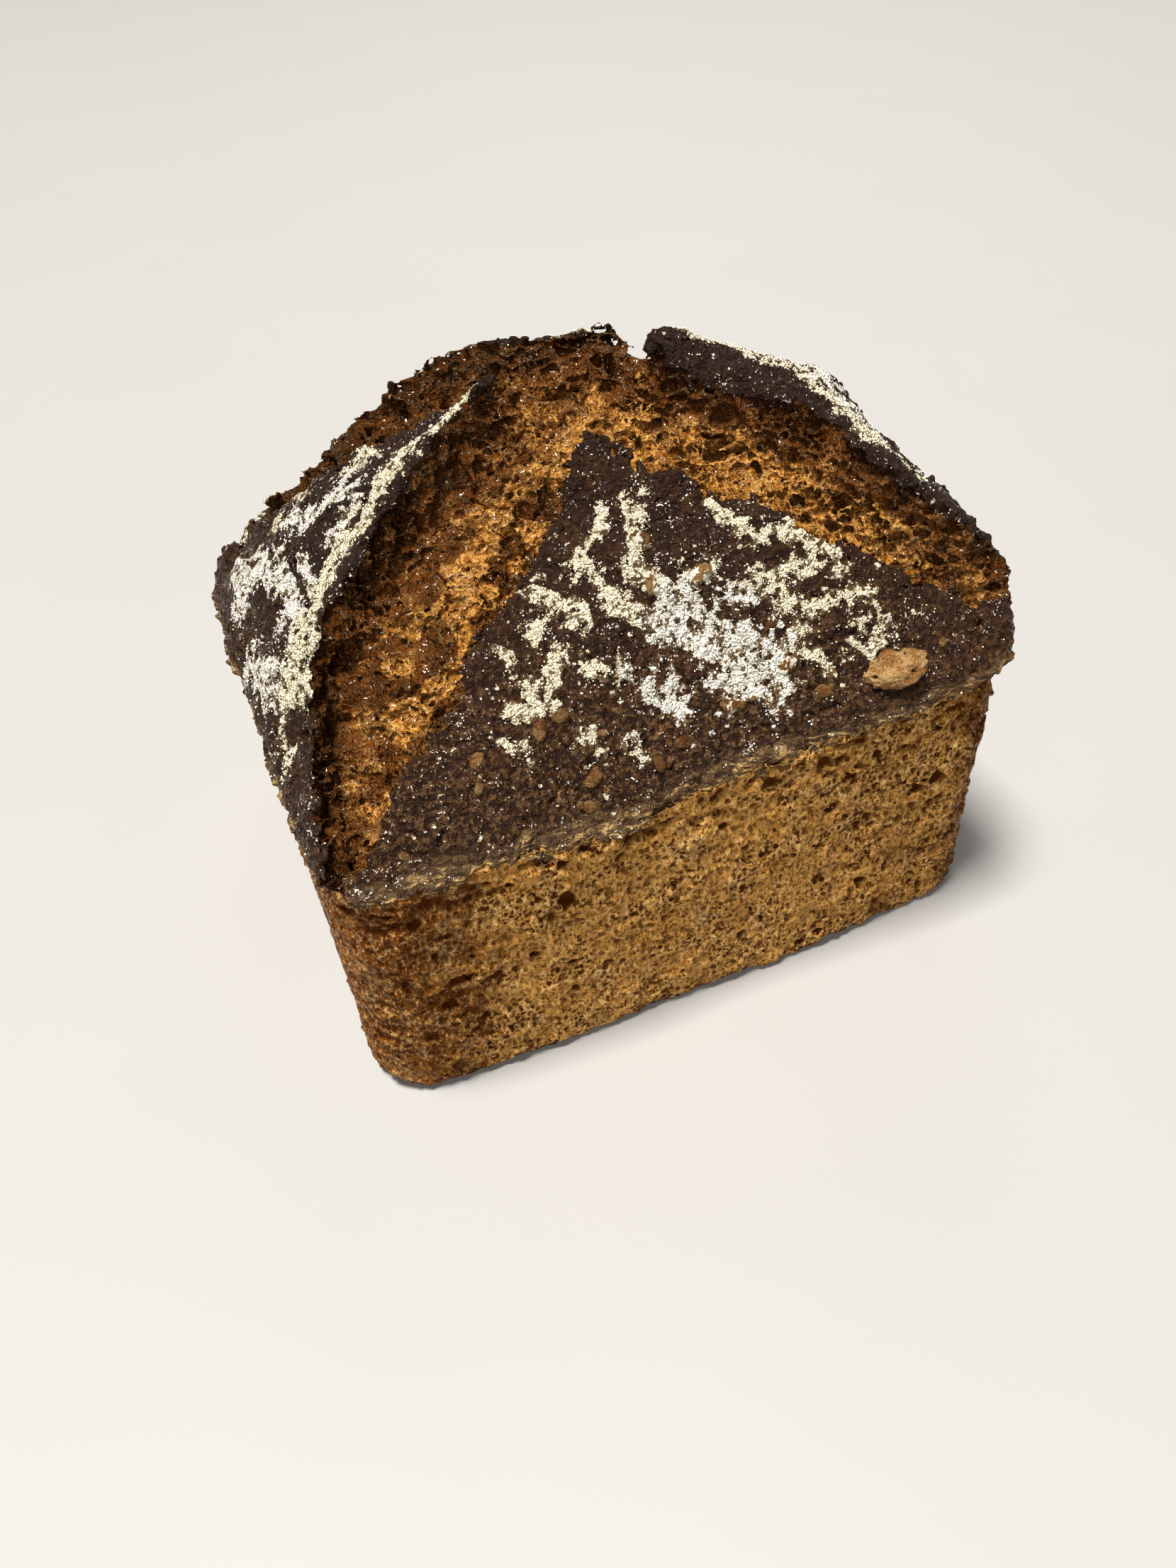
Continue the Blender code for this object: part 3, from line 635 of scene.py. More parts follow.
# Pores of the tin-baked sides: size, seed, share of places that have one, and reach of one.
PORES = [(1.3, 61, 0.65, 0.5), (2.1, 62, 0.42, 0.44), (3.6, 63, 0.33, 0.38), (7.5, 68, 0.2, 0.27)]
PORE_FLATNESS = 1.25
PORE_STEEPNESS = 2.3
PORE_DEEPEST = 2.2
ROUGH_END = (24.0, 18.0)
TORN_WHERE_BROWNED = (0.3, 0.5)
BASE_DENTS = (2.5, 67)
BASE_DENT_DEPTH = 0.35

# Flat tears under the rim: noise as wavelengths and seed, where one starts, depth, and the
# middle and reach of their band.
TEARS = ((4.0, 4.0, 1.1), 64)
TEAR_FROM = 0.1
TEAR_DEPTH = 1.8
TEAR_BAND = (-2.5, 3.5)

# Single holes in the sides that the photograph shows: place, half sizes.
SIDE_HOLES = [((-52.4, -54.5, 45.2), (1.6, 3.0, 0.8)), ((-49.8, -55.0, 44.4), (1.3, 3.0, 1.5)),
              ((-47.2, -55.8, 40.8), (1.0, 1.5, 1.7)), ((-24.3, -56.1, 39.1), (1.7, 2.5, 2.9)),
              ((-27.0, -56.1, 36.0), (1.0, 1.6, 2.4)), ((-44.0, -55.6, 28.0), (2.6, 1.8, 1.3)),
              ((-38.0, -55.8, 26.0), (1.8, 1.6, 1.2)), ((-8.0, -56.2, 47.0), (2.2, 1.8, 1.1)),
              ((2.0, -56.3, 48.5), (1.4, 1.6, 1.0)), ((31.0, -56.0, 44.0), (2.4, 1.8, 1.3))]
SIDE_HOLE_DEPTH = 1.6
SIDE_HOLE_RAGS = (1.3, 70)
RAG_DEPTH = 0.35

# Ends of the front flap that are charred: depth, and where that starts and how far it takes to
# its full depth along x and along y.
CHARRED_ENDS = [(0.62, (30.0, 14.0), (-28.0, -8.0)), (0.6, (-36.0, -8.0), (-38.0, -6.0))]

# Browned tufts of the crumb, and browned patches of its left part: noise as wavelength and
# seed, then start and reach of its contrast and of where they are, and how brown they get.
TUFTS = (6.5, 87)
TUFTS_CONTRAST = (0.12, 0.3)
TUFTS_DEPTH = (0.4, -0.25)
TUFTS_Y = (-14.0, 10.0)
TUFTS_BROWNED = 0.7
PATCHES = (3.4, 88)
PATCHES_CONTRAST = (-0.12, 0.3)
PATCHES_X = (2.0, -8.0)
PATCHES_Y = (6.0, -10.0)
PATCHES_BROWNED = 0.62

# Depth that the crumb's material goes by, to paint shade in hollows and highlight on ridge tops: where it
# starts and how far down it is full.
CRUMB_DEPTH_FROM = 0.6
CRUMB_DEPTH_REACH = 3.6
SIDE_DEPTH_REACH = 1.4

# Browning of the sides: how far from the middle the upright corners begin, and the starts and
# reaches of the corners, the foot, and the rough right and browned left ends.
BROWNED_CORNER_X = 50.0
BROWNED_CORNER_Y = 46.0
CORNER_BROWNING = (9.0, 8.0)
FOOT_BROWNING = (9.0, -9.0)
RIGHT_END_BROWNING = (18.0, 20.0)
LEFT_END_BROWNING = (-24.0, -24.0)


def torn_voids(x, y, z, lookup):
    """Distance to the voids that open into the torn crumb: bubbles that its surface cuts."""
    px, py, pz = [axis + BUBBLE_BEND * lattice_noise(x, y, z, BEND_WAVELENGTH, BEND_SEED + number)
                  for number, axis in enumerate((x, y, z))]
    void = np.full(x.shape, NO_VOID, dtype=np.float32)
    wide = ease(x, *WIDE_PORES_X) * ease(y, *WIDE_PORES_Y)
    patches = OPEN_CONTRAST * lattice_noise(x, y, z, *OPEN_PATCHES)
    openness = LEAST_OPEN + OPEN_SPREAD * smooth_step(0.5 + patches)
    for size, skin, seed, share_left, share_right in BUBBLES:
        near, following, centre, draw = cells(px, py, pz * BUBBLE_FLATNESS, size, seed)
        depth = lookup(x + centre[0], y + centre[1], z + centre[2] / BUBBLE_FLATNESS)
        share = (share_left + (share_right - share_left) * wide) * openness
        opened = (depth > -BUBBLE_REACH * size) & (draw < share)
        rounded = np.minimum((following - near) / 2.0 - skin / 2.0, 0.7 * size - near)
        void = np.maximum(void, np.where(opened, rounded, NO_VOID))
    return void


def torn_relief(x, y, z):
    """Height of the ridges and threads that tearing left on the crumb."""
    (coarse, *coarse_fold), (fine, *fine_fold) = TORN_THREADS
    threads = coarse * (1.0 - folds(x, y, z * TORN_FLATNESS, *coarse_fold))
    fine_threads = fine * (1.0 - folds(x, y, z * TORN_FLATNESS, *fine_fold))
    return threads + fine_threads + layered(lattice_noise, x, y, z, TORN_GRAIN) - TORN_LEVEL


def flour_cover(strokes, x, y, z):
    """Tendency to flour from 0 to 1: listed strokes, fragments, and drifts out of sight."""
    drifts = (DRIFT_SHARE - lattice_noise(x, y, z, *DRIFT_PATCHES)) * DRIFT_SLOPE
    hidden = ease(y, DRIFT_FROM_Y, 8.0) + ease(x, DRIFT_FROM_X, 6.0) * (y > DRIFT_RIGHT_FROM_Y)
    drifts = drifts + NO_DRIFT * (1.0 - np.minimum(hidden, 1.0))
    nearest = np.minimum(strokes, drifts)
    cover = 0.5 - (nearest + layered(lattice_noise, x, y, z, FLOUR_EDGE) - 0.4) / FLOUR_BORDER
    near, _, _, draw = cells(x, y, z, *FRAGMENT_CELLS)
    chance = FRAGMENT_SHARE * np.exp(-np.maximum(nearest, 0.0) / FRAGMENT_REACH) + FRAGMENT_STRAY
    radius = FRAGMENT_RADIUS * (1.0 - draw / chance)
    fragments = FRAGMENT_COVER * smooth_step(0.5 + (radius - near) / FRAGMENT_EDGE)
    return np.clip(np.maximum(cover, fragments), 0.0, FLOUR_THICKEST)


def flour_whiteness(x, y, beside):
    """1 where the flour stayed white, in the middle of the front and low on the others, else 0."""
    front = ease(np.hypot((x - WHITE_X) / WHITE_WIDENING, y - WHITE_Y), *WHITE_EDGE)
    outer = ease(beside, *OUTER_WHITE_EDGE)
    return np.where((y < FRONT_UNTIL_Y) & (np.abs(x) < FRONT_HALF_X), front, outer)


def crust_relief(x, y, z, flour):
    """Height that leathery wrinkles, blisters, beads and flour add to the crust."""
    leather = layered(folds, x, y, z, LEATHER_FOLDS) + layered(lattice_noise, x, y, z, LEATHER_GRAIN)
    near, _, _, draw = cells(x, y, z, *BEAD_CELLS)
    beads = BEAD_HEIGHT * (draw < BEAD_SHARE) * ease(near, *BEAD_EDGE)
    blister = np.maximum(lattice_noise(x, y, z, *BLISTERS) - BLISTER_FROM, 0.0) * BLISTER_HEIGHT
    from_crack = np.abs(lattice_noise(x, y, z, *CRACKS))
    cracks = CRACK_DEPTH * (1.0 - ease(from_crack, 0.0, CRACK_WIDTH))
    thick = ease(flour, *THICK_FLOUR)
    clumps = layered(folds, x, y, z, FLOUR_FOLDS) + layered(lattice_noise, x, y, z, FLOUR_GRAIN)
    crust = leather + blister + beads - cracks
    return crust * (1.0 - FLOUR_SMOOTHING * thick) + thick * (FLOUR_HEIGHT + clumps) - CRUST_LEVEL


def side_browning(x, y, z):
    """How far a place on the sides is browned beyond golden: the corners, the foot and patches."""
    corner = (np.maximum(np.abs(x - BODY_CENTRE_X) - BROWNED_CORNER_X, 0.0)
              + np.maximum(np.abs(y) - BROWNED_CORNER_Y, 0.0))
    upright_edge = ease(corner, *CORNER_BROWNING)
    foot = ease(z, *FOOT_BROWNING)
    patches = layered(lattice_noise, x, y, z, BROWNED_PATCHES)
    rough_end = 0.25 * ease(x, *RIGHT_END_BROWNING)
    left_end = 0.7 * ease(x, *LEFT_END_BROWNING)
    return np.clip(0.75 * upright_edge + 0.2 * foot + patches + rough_end + left_end, 0.0, 1.0)


def side_relief(maps, x, y, z):
    """Depth of the pores and tears in the tin-baked sides."""
    rough = ease(x, *ROUGH_END)
    depth = np.zeros(x.shape, dtype=np.float32)
    for size, seed, share, reach in PORES:
        near, _, _, draw = cells(x, y, z * PORE_FLATNESS, size, seed)
        radius = size * reach * (0.5 + 0.5 * draw / share)
        depth = np.maximum(depth, np.where(draw < share * (1.0 + 0.5 * rough), radius - near, 0.0))
    ragged = RAG_DEPTH * lattice_noise(x, y, z, *SIDE_HOLE_RAGS)
    for centre, half in SIDE_HOLES:
        hole = 1.0 - ellipsoid(x, y, z, centre, half) + ragged
        depth = np.maximum(depth, hole * min(half) * SIDE_HOLE_DEPTH)
    depth = np.minimum(depth * PORE_STEEPNESS, PORE_DEEPEST)
    tears = np.maximum(lattice_noise(x, y, z, *TEARS) - TEAR_FROM, 0.0)
    depth = depth + TEAR_DEPTH * tears * hump(z - maps["rim"], *TEAR_BAND)
    grain = layered(lattice_noise, x, y, z, SIDE_GRAIN) + layered(folds, x, y, z, SIDE_FOLDS)
    torn = ease(side_browning(x, y, z), *TORN_WHERE_BROWNED)
    return depth + grain + torn * (layered(folds, x, y, z, TORN_SIDE_FOLDS) - 0.1) - SIDE_LEVEL


# ---------------------------------------------------------------- fine surface

Samples = namedtuple("Samples", "field start step maps")
Surface = namedtuple("Surface", "points faces layers")


def spread_samples(box, step, band, coarse_field, fine_field, wanted):
    """Field on a regular grid, worked out finely only in wanted blocks that lie near the surface."""
    block = step * BLOCK
    start = np.array(box[0])
    blocks = [int(math.ceil((top - bottom) / block)) for bottom, top in zip(*box)]
    axes = [bottom + step * np.arange(count * BLOCK) for bottom, count in zip(start, blocks)]
    maps = plan_maps(axes[0][:, None], axes[1][None, :], step)
    middle = [axis.reshape(-1, BLOCK).mean(axis=1) for axis in axes]
    coarse_maps = plan_maps(middle[0][:, None], middle[1][None, :], block)
    coarse_maps = {name: values[:, :, None] for name, values in coarse_maps.items()}
    cx, cy, cz = [axis.astype(np.float32)
                  for axis in np.meshgrid(*middle, indexing="ij", sparse=True)]
    coarse = coarse_field(coarse_maps, cx, cy, cz).astype(np.float32)

    def lookup(x, y, z):
        """Coarse distance at any place, from the nearest block."""
        place = [np.clip(((axis - begin) / block).astype(np.int32), 0, count - 1)
                 for axis, begin, count in zip((x, y, z), start, blocks)]
        return coarse[place[0], place[1], place[2]]

    field = np.where(coarse < 0.0, np.float32(-UNTOUCHED), np.float32(UNTOUCHED))
    for axis in range(3):
        field = field.repeat(BLOCK, axis=axis)
    near = np.argwhere((np.abs(coarse) < band) & wanted(cx, cy)).astype(np.int32)
    offsets = np.stack(np.meshgrid(*[np.arange(BLOCK)] * 3, indexing="ij"), axis=-1).reshape(-1, 3)
    for part in np.array_split(near, max(1, len(near) // BLOCKS_AT_ONCE)):
        i, j, k = (part[:, None, :] * BLOCK + offsets[None]).reshape(-1, 3).T
        x, y, z = [(begin + step * axis).astype(np.float32) for begin, axis in zip(start, (i, j, k))]
        local = {name: values[i, j] for name, values in maps.items()}
        field[i, j, k] = fine_field(local, x, y, z, lookup)
    return Samples(field, start, step, maps)


def net_faces(inside, index, axis):
    """Quads around the grid edges along one axis where the field changes sign."""
    here = [slice(1, -1)] * 3
    here[axis] = slice(None, -1)
    there = list(here)
    there[axis] = slice(1, None)
    first, last = inside[tuple(here)], inside[tuple(there)]
    second = (axis + 1) % 3
    third = (axis + 2) % 3
    quads = []
    for crossing, order in ((first & ~last, (0, 1, 2, 3)), (~first & last, (3, 2, 1, 0))):
        place = np.argwhere(crossing)
        place[:, second] += 1
        place[:, third] += 1
        ring = []
        for back_second, back_third in ((1, 1), (0, 1), (0, 0), (1, 0)):
            cell = place.copy()
            cell[:, second] -= back_second
            cell[:, third] -= back_third
            ring.append(index[tuple(cell.T)])
        quads.append(np.stack([ring[corner] for corner in order], axis=1))
    return np.concatenate(quads)


def surface_net(samples):
    """Points and quads of the zero surface of a sampled field, and each point's plan index."""
    field = samples.field
    inside = field < 0.0
    corners = list(itertools.product((0, 1), repeat=3))
    cells_shape = tuple(size - 1 for size in field.shape)
    filled = np.zeros(cells_shape, dtype=np.uint8)
    for shift in corners:
        filled += inside[tuple(slice(d, d + size) for d, size in zip(shift, cells_shape))]
    used = np.argwhere((filled > 0) & (filled < len(corners)))
    value = {shift: field[tuple((used + shift).T)] for shift in corners}
    total = np.zeros((len(used), 3))
    count = np.zeros(len(used))
    for first, axis in itertools.product(corners, range(3)):
        if first[axis]:
            continue
        last = tuple(1 if other == axis else first[other] for other in range(3))
        crossed = (value[first] < 0.0) != (value[last] < 0.0)
        gap = np.where(crossed, value[first] - value[last], 1.0)
        place = np.array(first, dtype=float) * crossed[:, None]
        place[:, axis] = np.where(crossed, value[first] / gap, 0.0)
        total += place
        count += crossed
    index = np.full(cells_shape, -1, dtype=np.int32)
    index[tuple(used.T)] = np.arange(len(used))
    points = samples.start + (used + total / count[:, None]) * samples.step
    faces = np.concatenate([net_faces(inside, index, axis) for axis in range(3)])
    return points, faces, used[:, :2]


def largest_piece(count, faces):
    """Mask of the points on the largest connected piece."""
    label = np.arange(count)
    first = faces.ravel()
    second = np.roll(faces, 1, axis=1).ravel()
    while True:
        before = label.copy()
        least = np.minimum(label[first], label[second])
        np.minimum.at(label, first, least)
        np.minimum.at(label, second, least)
        label = label[label]
        label = label[label]
        if np.array_equal(before, label):
            break
    return label == np.bincount(label).argmax()


def solid_surface(samples):
    """The main body's surface without loose scraps or sealed bubbles, and the maps at its points."""
    points, faces, plan = surface_net(samples)
    kept = largest_piece(len(points), faces)
    maps = {name: values[plan[:, 0], plan[:, 1]] for name, values in samples.maps.items()}
    return points, faces[kept[faces[:, 0]]], maps


# ---------------------------------------------------------------- the two surfaces


def proud_of_rim(rise):
    """How far the crust stands out from the tin's side, by height above the rim line."""
    return RIM_PROUD * ease(rise, *RIM_STEP) - RIM_NOTCH * ease(rise, *RIM_NOTCH_EDGE)


def ragged_rise(maps, x, y, z):
    """Height above the rim line, which small tears make uneven."""
    return z - maps["rim"] - layered(lattice_noise, x, y, z, RIM_TEARS)


def ragged_form(maps, x, y, z):
    """The crown with torn edges, the height above the torn rim line, and the wall's distance."""
    form = crown_form(maps, x, y, z, layered(lattice_noise, x, y, z, LIP_TEARS))
    rise = ragged_rise(maps, x, y, z)
    return form, rise, wall_form(x, y, z, form.wrinkles, proud_of_rim(rise))


def coarse_body(maps, x, y, z):
    """Distance to the loaf without fine relief."""
    form = crown_form(maps, x, y, z, 0.0)
    wall = wall_form(x, y, z, form.wrinkles, proud_of_rim(z - maps["rim"]))
    return smooth_greatest(wall, form.distance, CROWN_EDGE_RADIUS)


def crust_share(form, x, y, z):
    """1 on crust and 0 on torn crumb, with a ragged border."""
    uneven = layered(lattice_noise, x, y, z, SKIN_BORDER)
    skin = smooth_step((CRUST_THICKNESS + uneven - form.below) / SKIN_SOFTNESS + 0.5)
    skin = np.maximum(skin, ease(form.beside, *SKIN_TOP))
    return skin * smooth_step((form.crumb + SKIN_OVER_CRUMB) / SKIN_CRUMB_SOFTNESS + 0.5)


def crown_sample(maps, x, y, z, lookup):
    """Distance at fine samples of the crown, with all its relief."""
    form, rise, wall = ragged_form(maps, x, y, z)
    flakes = FLAKE_DEPTH * np.maximum(lattice_noise(x, y, z, *FLAKES) - FLAKE_FROM, 0.0)
    strata = layered(lattice_noise, x, y, z, RIM_LAYERS) - flakes
    wall = wall + strata * hump(rise, *FLAKE_BAND)
    gap = smooth_step(GAP_SHARPNESS * lattice_noise(x, y, z, *GAPS))
    wall = wall + GAP_DEPTH * gap * hump(rise, *GAP_BAND)
    body = smooth_greatest(wall, form.distance, CROWN_EDGE_RADIUS)
    crust = crust_share(form, x, y, z)
    flour = flour_cover(maps["flour"], x, y, z)
    body = body - crust * crust_relief(x, y, z, flour) - (1.0 - crust) * torn_relief(x, y, z)
    body = np.maximum(body, 1.0 - ellipsoid(x, y, z, *CRUST_HOLE))
    carved = np.full(x.shape, NO_VOID, dtype=np.float32)
    chosen = np.flatnonzero((crust < 0.5) & (np.abs(body) < CROWN_BAND))
    if len(chosen):
        carved[chosen] = torn_voids(x[chosen], y[chosen], z[chosen], lookup)
    return smooth_greatest(body, carved - 4.0 * crust, VOID_EDGE)


def crown_farness(x, y):
    """Plan distance by which a place lies beyond the nearer part of the crown."""
    return np.maximum(np.minimum(x - FAR_FROM_X, y - FAR_RIGHT_FROM_Y), y - FAR_FROM_Y)


def side_farness(x, y):
    """Plan distance by which a place lies beyond the nearer part of the sides."""
    return y - SIDE_FAR_FROM_Y + 0.0 * x


def everywhere(x, y):
    """Mask that wants every place."""
    return np.ones(np.broadcast(x, y).shape, dtype=bool)


def wanted_part(farness, far):
    """Mask function of the blocks that the nearer or the farther part needs."""
    if far:
        return lambda x, y: farness(x, y) > -FAR_OVERLAP - FAR_MARGIN
    return lambda x, y: farness(x, y) < FAR_MARGIN


def in_part(surface, farness, far):
    """Mask of a surface's faces that belong to its nearer or farther part."""
    middles = face_middles(surface)
    beyond = farness(middles[:, 0], middles[:, 1])
    return beyond > -FAR_OVERLAP if far else beyond < 0.0


def browned_crumb(x, y, z, depth):
    """How far crumb away from the lips is browned: tufts that stand out, and patches on the left."""
    tufts = ease(lattice_noise(x, y, z, *TUFTS), *TUFTS_CONTRAST)
    tufts = tufts * ease(depth, *TUFTS_DEPTH) * ease(y, *TUFTS_Y)
    patches = ease(lattice_noise(x, y, z, *PATCHES), *PATCHES_CONTRAST) * ease(x, *PATCHES_X)
    return np.maximum(TUFTS_BROWNED * tufts, PATCHES_BROWNED * patches * ease(y, *PATCHES_Y))


@functools.cache
def crown_surface(step, far):
    """Fine surface of the crown down to the rim line, with what its materials need."""
    samples = spread_samples(CROWN_BOX, step, CROWN_BAND, coarse_body, crown_sample,
                             wanted_part(crown_farness, far))
    points, faces, maps = solid_surface(samples)
    x, y, z = points.T.astype(np.float32)
    form, rise, wall = ragged_form(maps, x, y, z)
    body = smooth_greatest(wall, form.distance, CROWN_EDGE_RADIUS)
    crust = crust_share(form, x, y, z)
    depth = np.clip((CRUMB_DEPTH_FROM - body) / CRUMB_DEPTH_REACH, 0.0, 1.0)
    charred = np.maximum(*[most * (ease(x, *along) * ease(y, *across))
                           for most, along, across in CHARRED_ENDS])
    browned = browned_crumb(x, y, z, depth)
    layers = {
        "crust": crust,
        "flour": flour_cover(maps["flour"], x, y, z) * crust,
        "toast": np.maximum(form.toast, np.where(crust > 0.5, charred, browned)),
        "depth": depth,
        "rise": rise,
        "white": flour_whiteness(x, y, form.beside),
    }
    above = (rise > -CROWN_BELOW_RIM)[faces].any(axis=1)
    above &= (z > CROWN_BOX[0][2] + GRID_MARGIN)[faces].all(axis=1)
    surface = Surface(points, faces[above], layers)
    return surface._replace(faces=surface.faces[in_part(surface, crown_farness, far)])


def side_wall(x, y, z):
    """Distance to the upright faces of the tin-baked body, without fine relief."""
    return wall_form(x, y, z, wrinkles_at(x, y, z), 0.0)


def on_base(wall, z, uneven):
    """Distance to a body with this wall that stands on its base, rounded round the lower edge."""
    return np.maximum(smooth_greatest(wall, -z - BASE_RADIUS / 4.0, BASE_RADIUS), -z + uneven)


def side_sample(maps, x, y, z, lookup):
    """Distance at fine samples of the tin-baked sides."""
    uneven = BASE_DENT_DEPTH * np.maximum(lattice_noise(x, y, z, *BASE_DENTS), 0.0)
    return on_base(side_wall(x, y, z) + side_relief(maps, x, y, z), z, uneven)


def coarse_side(maps, x, y, z):
    """Distance to the tin-baked body without fine relief."""
    return on_base(side_wall(x, y, z), z, 0.0)


def side_surface(step, wanted):
    """Fine surface of the upright sides and base, up to the rim line."""
    samples = spread_samples(SIDE_BOX, step, SIDE_BAND, coarse_side, side_sample, wanted)
    points, faces, maps = solid_surface(samples)
    x, y, z = points.T.astype(np.float32)
    wall = side_wall(x, y, z)
    layers = {"depth": np.clip(-wall / SIDE_DEPTH_REACH, 0.0, 1.0), "wall": wall,
              "browned": side_browning(x, y, z)}
    under = (ragged_rise(maps, x, y, z) < SIDE_ABOVE_RIM)[faces].all(axis=1)
    return Surface(points, faces[under], layers)


def add_piece(name, points, faces, layers, material):
    """One piece from points of the design in millimetres, that takes the loaf's place."""
    mesh = clean_mesh(name, (points + np.array([*PLAN_SHIFT, 0.0])) * MM, faces)
    for layer, values in layers.items():
        attribute = mesh.attributes.new(layer, "FLOAT", "POINT")
        attribute.data.foreach_set("value", values.astype(np.float32))
    mesh.materials.append(material)
    piece = bpy.data.objects.new(name, mesh)
    bpy.context.collection.objects.link(piece)
    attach(piece, BODY)
    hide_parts(NODE)


def add_part(name, surface, chosen, material, layer_names):
    """One piece from the chosen faces of a surface."""
    used, faces = np.unique(surface.faces[chosen], return_inverse=True)
    layers = {layer: surface.layers[layer][used] for layer in layer_names}
    add_piece(name, surface.points[used], faces.reshape(-1, 4), layers, material)


# ---------------------------------------------------------------- shader helpers


class Nodes:
    """A node tree, with a short call for each kind of node that the materials use."""

    def __init__(self, tree):
        self.tree = tree

    def feed(self, node, values):
        """Set or link each named input of a node."""
        for key, value in values.items():
            if isinstance(value, bpy.types.NodeSocket):
                self.tree.links.new(value, node.inputs[key])
            else:
                node.inputs[key].default_value = (*value, 1.0) if isinstance(value, Color) else value
        return node

    def add(self, kind, values, **settings):
        """Outputs of a new node of a kind, with its settings and inputs."""
        node = self.tree.nodes.new(kind)
        for key, value in settings.items():
            setattr(node, key, value)
        return self.feed(node, values).outputs

    def math(self, operation, *values, clamp=False):
        """Result of a Math node."""
        values = dict(enumerate(values))
        return self.add("ShaderNodeMath", values, operation=operation, use_clamp=clamp)[0]

    def times(self, first, second):
        """Product of two values."""
        return self.math("MULTIPLY", first, second)

    def frequency(self, size):
        """Scale of a texture for features of a size in millimetres, a number or a socket."""
        if isinstance(size, bpy.types.NodeSocket):
            return self.math("DIVIDE", 1.0 / MM, size)
        return 1.0 / (size * MM)

    def noise(self, place, size, detail=3.0, roughness=0.55, output="Fac"):
        """Noise with features of a size in millimetres."""
        values = {"Vector": place, "Scale": self.frequency(size), "Detail": detail,
                  "Roughness": roughness}
        return self.add("ShaderNodeTexNoise", values)[output]

    def spots(self, place, size):
        """Distance to the nearest of scattered spots, and that spot's draw from 0 to 1."""
        spots = self.add("ShaderNodeTexVoronoi", {"Vector": place, "Scale": self.frequency(size)})
        return spots["Distance"], self.add("ShaderNodeSeparateColor", {"Color": spots["Color"]})[0]

    def ramp(self, value, low, high, start=0.0, end=1.0):
        """A value mapped from one range to another, with smooth ends."""
        values = {"Value": value, "From Min": low, "From Max": high, "To Min": start, "To Max": end}
        return self.add("ShaderNodeMapRange", values, interpolation_type="SMOOTHSTEP")["Result"]

    def blend(self, share, first, second, kind="MIX"):
        """Mix of two colours by a share."""
        values = {0: share, 6: first, 7: second}
        return self.add("ShaderNodeMix", values, data_type="RGBA", blend_type=kind)[2]

    def cover(self, base, layers):
        """A colour with others laid over it in turn, each given by its share and colour."""
        for share, colour in layers:
            base = self.blend(share, base, colour)
        return base

    def layer(self, name):
        """A value stored on the mesh's points."""
        return self.add("ShaderNodeAttribute", {}, attribute_name=name)["Fac"]

    def place(self):
        """Place on the object in metres."""
        return self.add("ShaderNodeTexCoord", {})["Object"]

    def bent(self, place, size, reach):
        """A place moved about by a noise of a size and reach in millimetres."""
        wobble = self.noise(place, size, 2.0, 0.5, "Color")
        values = {0: wobble, 1: (reach * MM,) * 3, 2: place}
        return self.add("ShaderNodeVectorMath", values, operation="MULTIPLY_ADD")[0]

    def stretched(self, flatness):
        """Place on the object, squeezed so that a noise there runs in layers that much flatter."""
        values = {0: self.place(), 1: (1.0 / flatness, 1.0 / flatness, 1.0)}
        return self.add("ShaderNodeVectorMath", values, operation="MULTIPLY")[0]

    def bump(self, height, distance):
        """Normal of a relief whose height is given in shares of a distance in millimetres."""
        values = {"Height": height, "Strength": 1.0, "Distance": distance * MM}
        return self.add("ShaderNodeBump", values)["Normal"]

    def group(self, group, **values):
        """Outputs of a node group with its own values; an input's spaces are written as _."""
        values = {key.replace("_", " "): value for key, value in values.items()}
        return self.add("ShaderNodeGroup", values, node_tree=group)


def new_group(name, inputs, outputs):
    """Nodes of a new shader group, the values of its named inputs, and its output node."""
    group = bpy.data.node_groups.new(name, "ShaderNodeTree")
    for label, default in inputs.items():
        kind = "NodeSocketColor" if isinstance(default, tuple) else "NodeSocketFloat"
        group.interface.new_socket(name=label, in_out="INPUT", socket_type=kind).default_value = default
    for label in outputs:
        kind = "NodeSocketColor" if label == "Color" else "NodeSocketFloat"
        group.interface.new_socket(name=label, in_out="OUTPUT", socket_type=kind)
    nodes = Nodes(group)
    return nodes, nodes.add("NodeGroupInput", {}), group.nodes.new("NodeGroupOutput")


@functools.cache
def flour_group():
    """Dry flour: crisp granules and clumps, their cream to white colour with painted shade between the
    granules, and their height.
    """
    nodes, source, result = new_group(
        "Dry Flour",
        {"Cover": 0.0, "Whiteness": 0.5, "Cream": (0.8, 0.68, 0.44, 1.0),
         "White": (0.82, 0.78, 0.68, 1.0), "Thin": (0.6, 0.42, 0.2, 1.0)},
        ["Mask", "Color", "Height"])
    place = nodes.place()
    distance, draw = nodes.spots(nodes.bent(place, 0.35, 0.35), 0.5)
    single = nodes.math("MULTIPLY_ADD", draw, 0.3, -0.15)
    clumped = nodes.math("MULTIPLY_ADD", nodes.noise(place, 1.8, 4.0, 0.62), 2.1, -1.05)
    cover = nodes.math("ADD", source["Cover"], nodes.math("ADD", single, clumped))
    mask = nodes.ramp(cover, 0.5, 0.535)
    wander = nodes.math("MULTIPLY_ADD", nodes.noise(place, 4.0, 2.0), 1.2, -0.6)
    tint = nodes.ramp(nodes.math("ADD", source["Whiteness"], wander), 0.2, 0.8)
    colour = nodes.cover(source["Cream"], [(tint, source["White"]),
                                           (nodes.ramp(cover, 0.66, 0.5, 0.0, 0.6), source["Thin"])])
    # Painted shade in the gaps between granules.
    shade = nodes.ramp(distance, 0.62, 0.3, 0.8, 1.0)
    rounded = nodes.ramp(distance, 0.7, 0.1, 0.4, 1.2)
    nodes.feed(result, {"Mask": mask, "Color": nodes.blend(1.0, colour, shade, "MULTIPLY"),
                        "Height": nodes.times(rounded, mask)})
    return nodes.tree


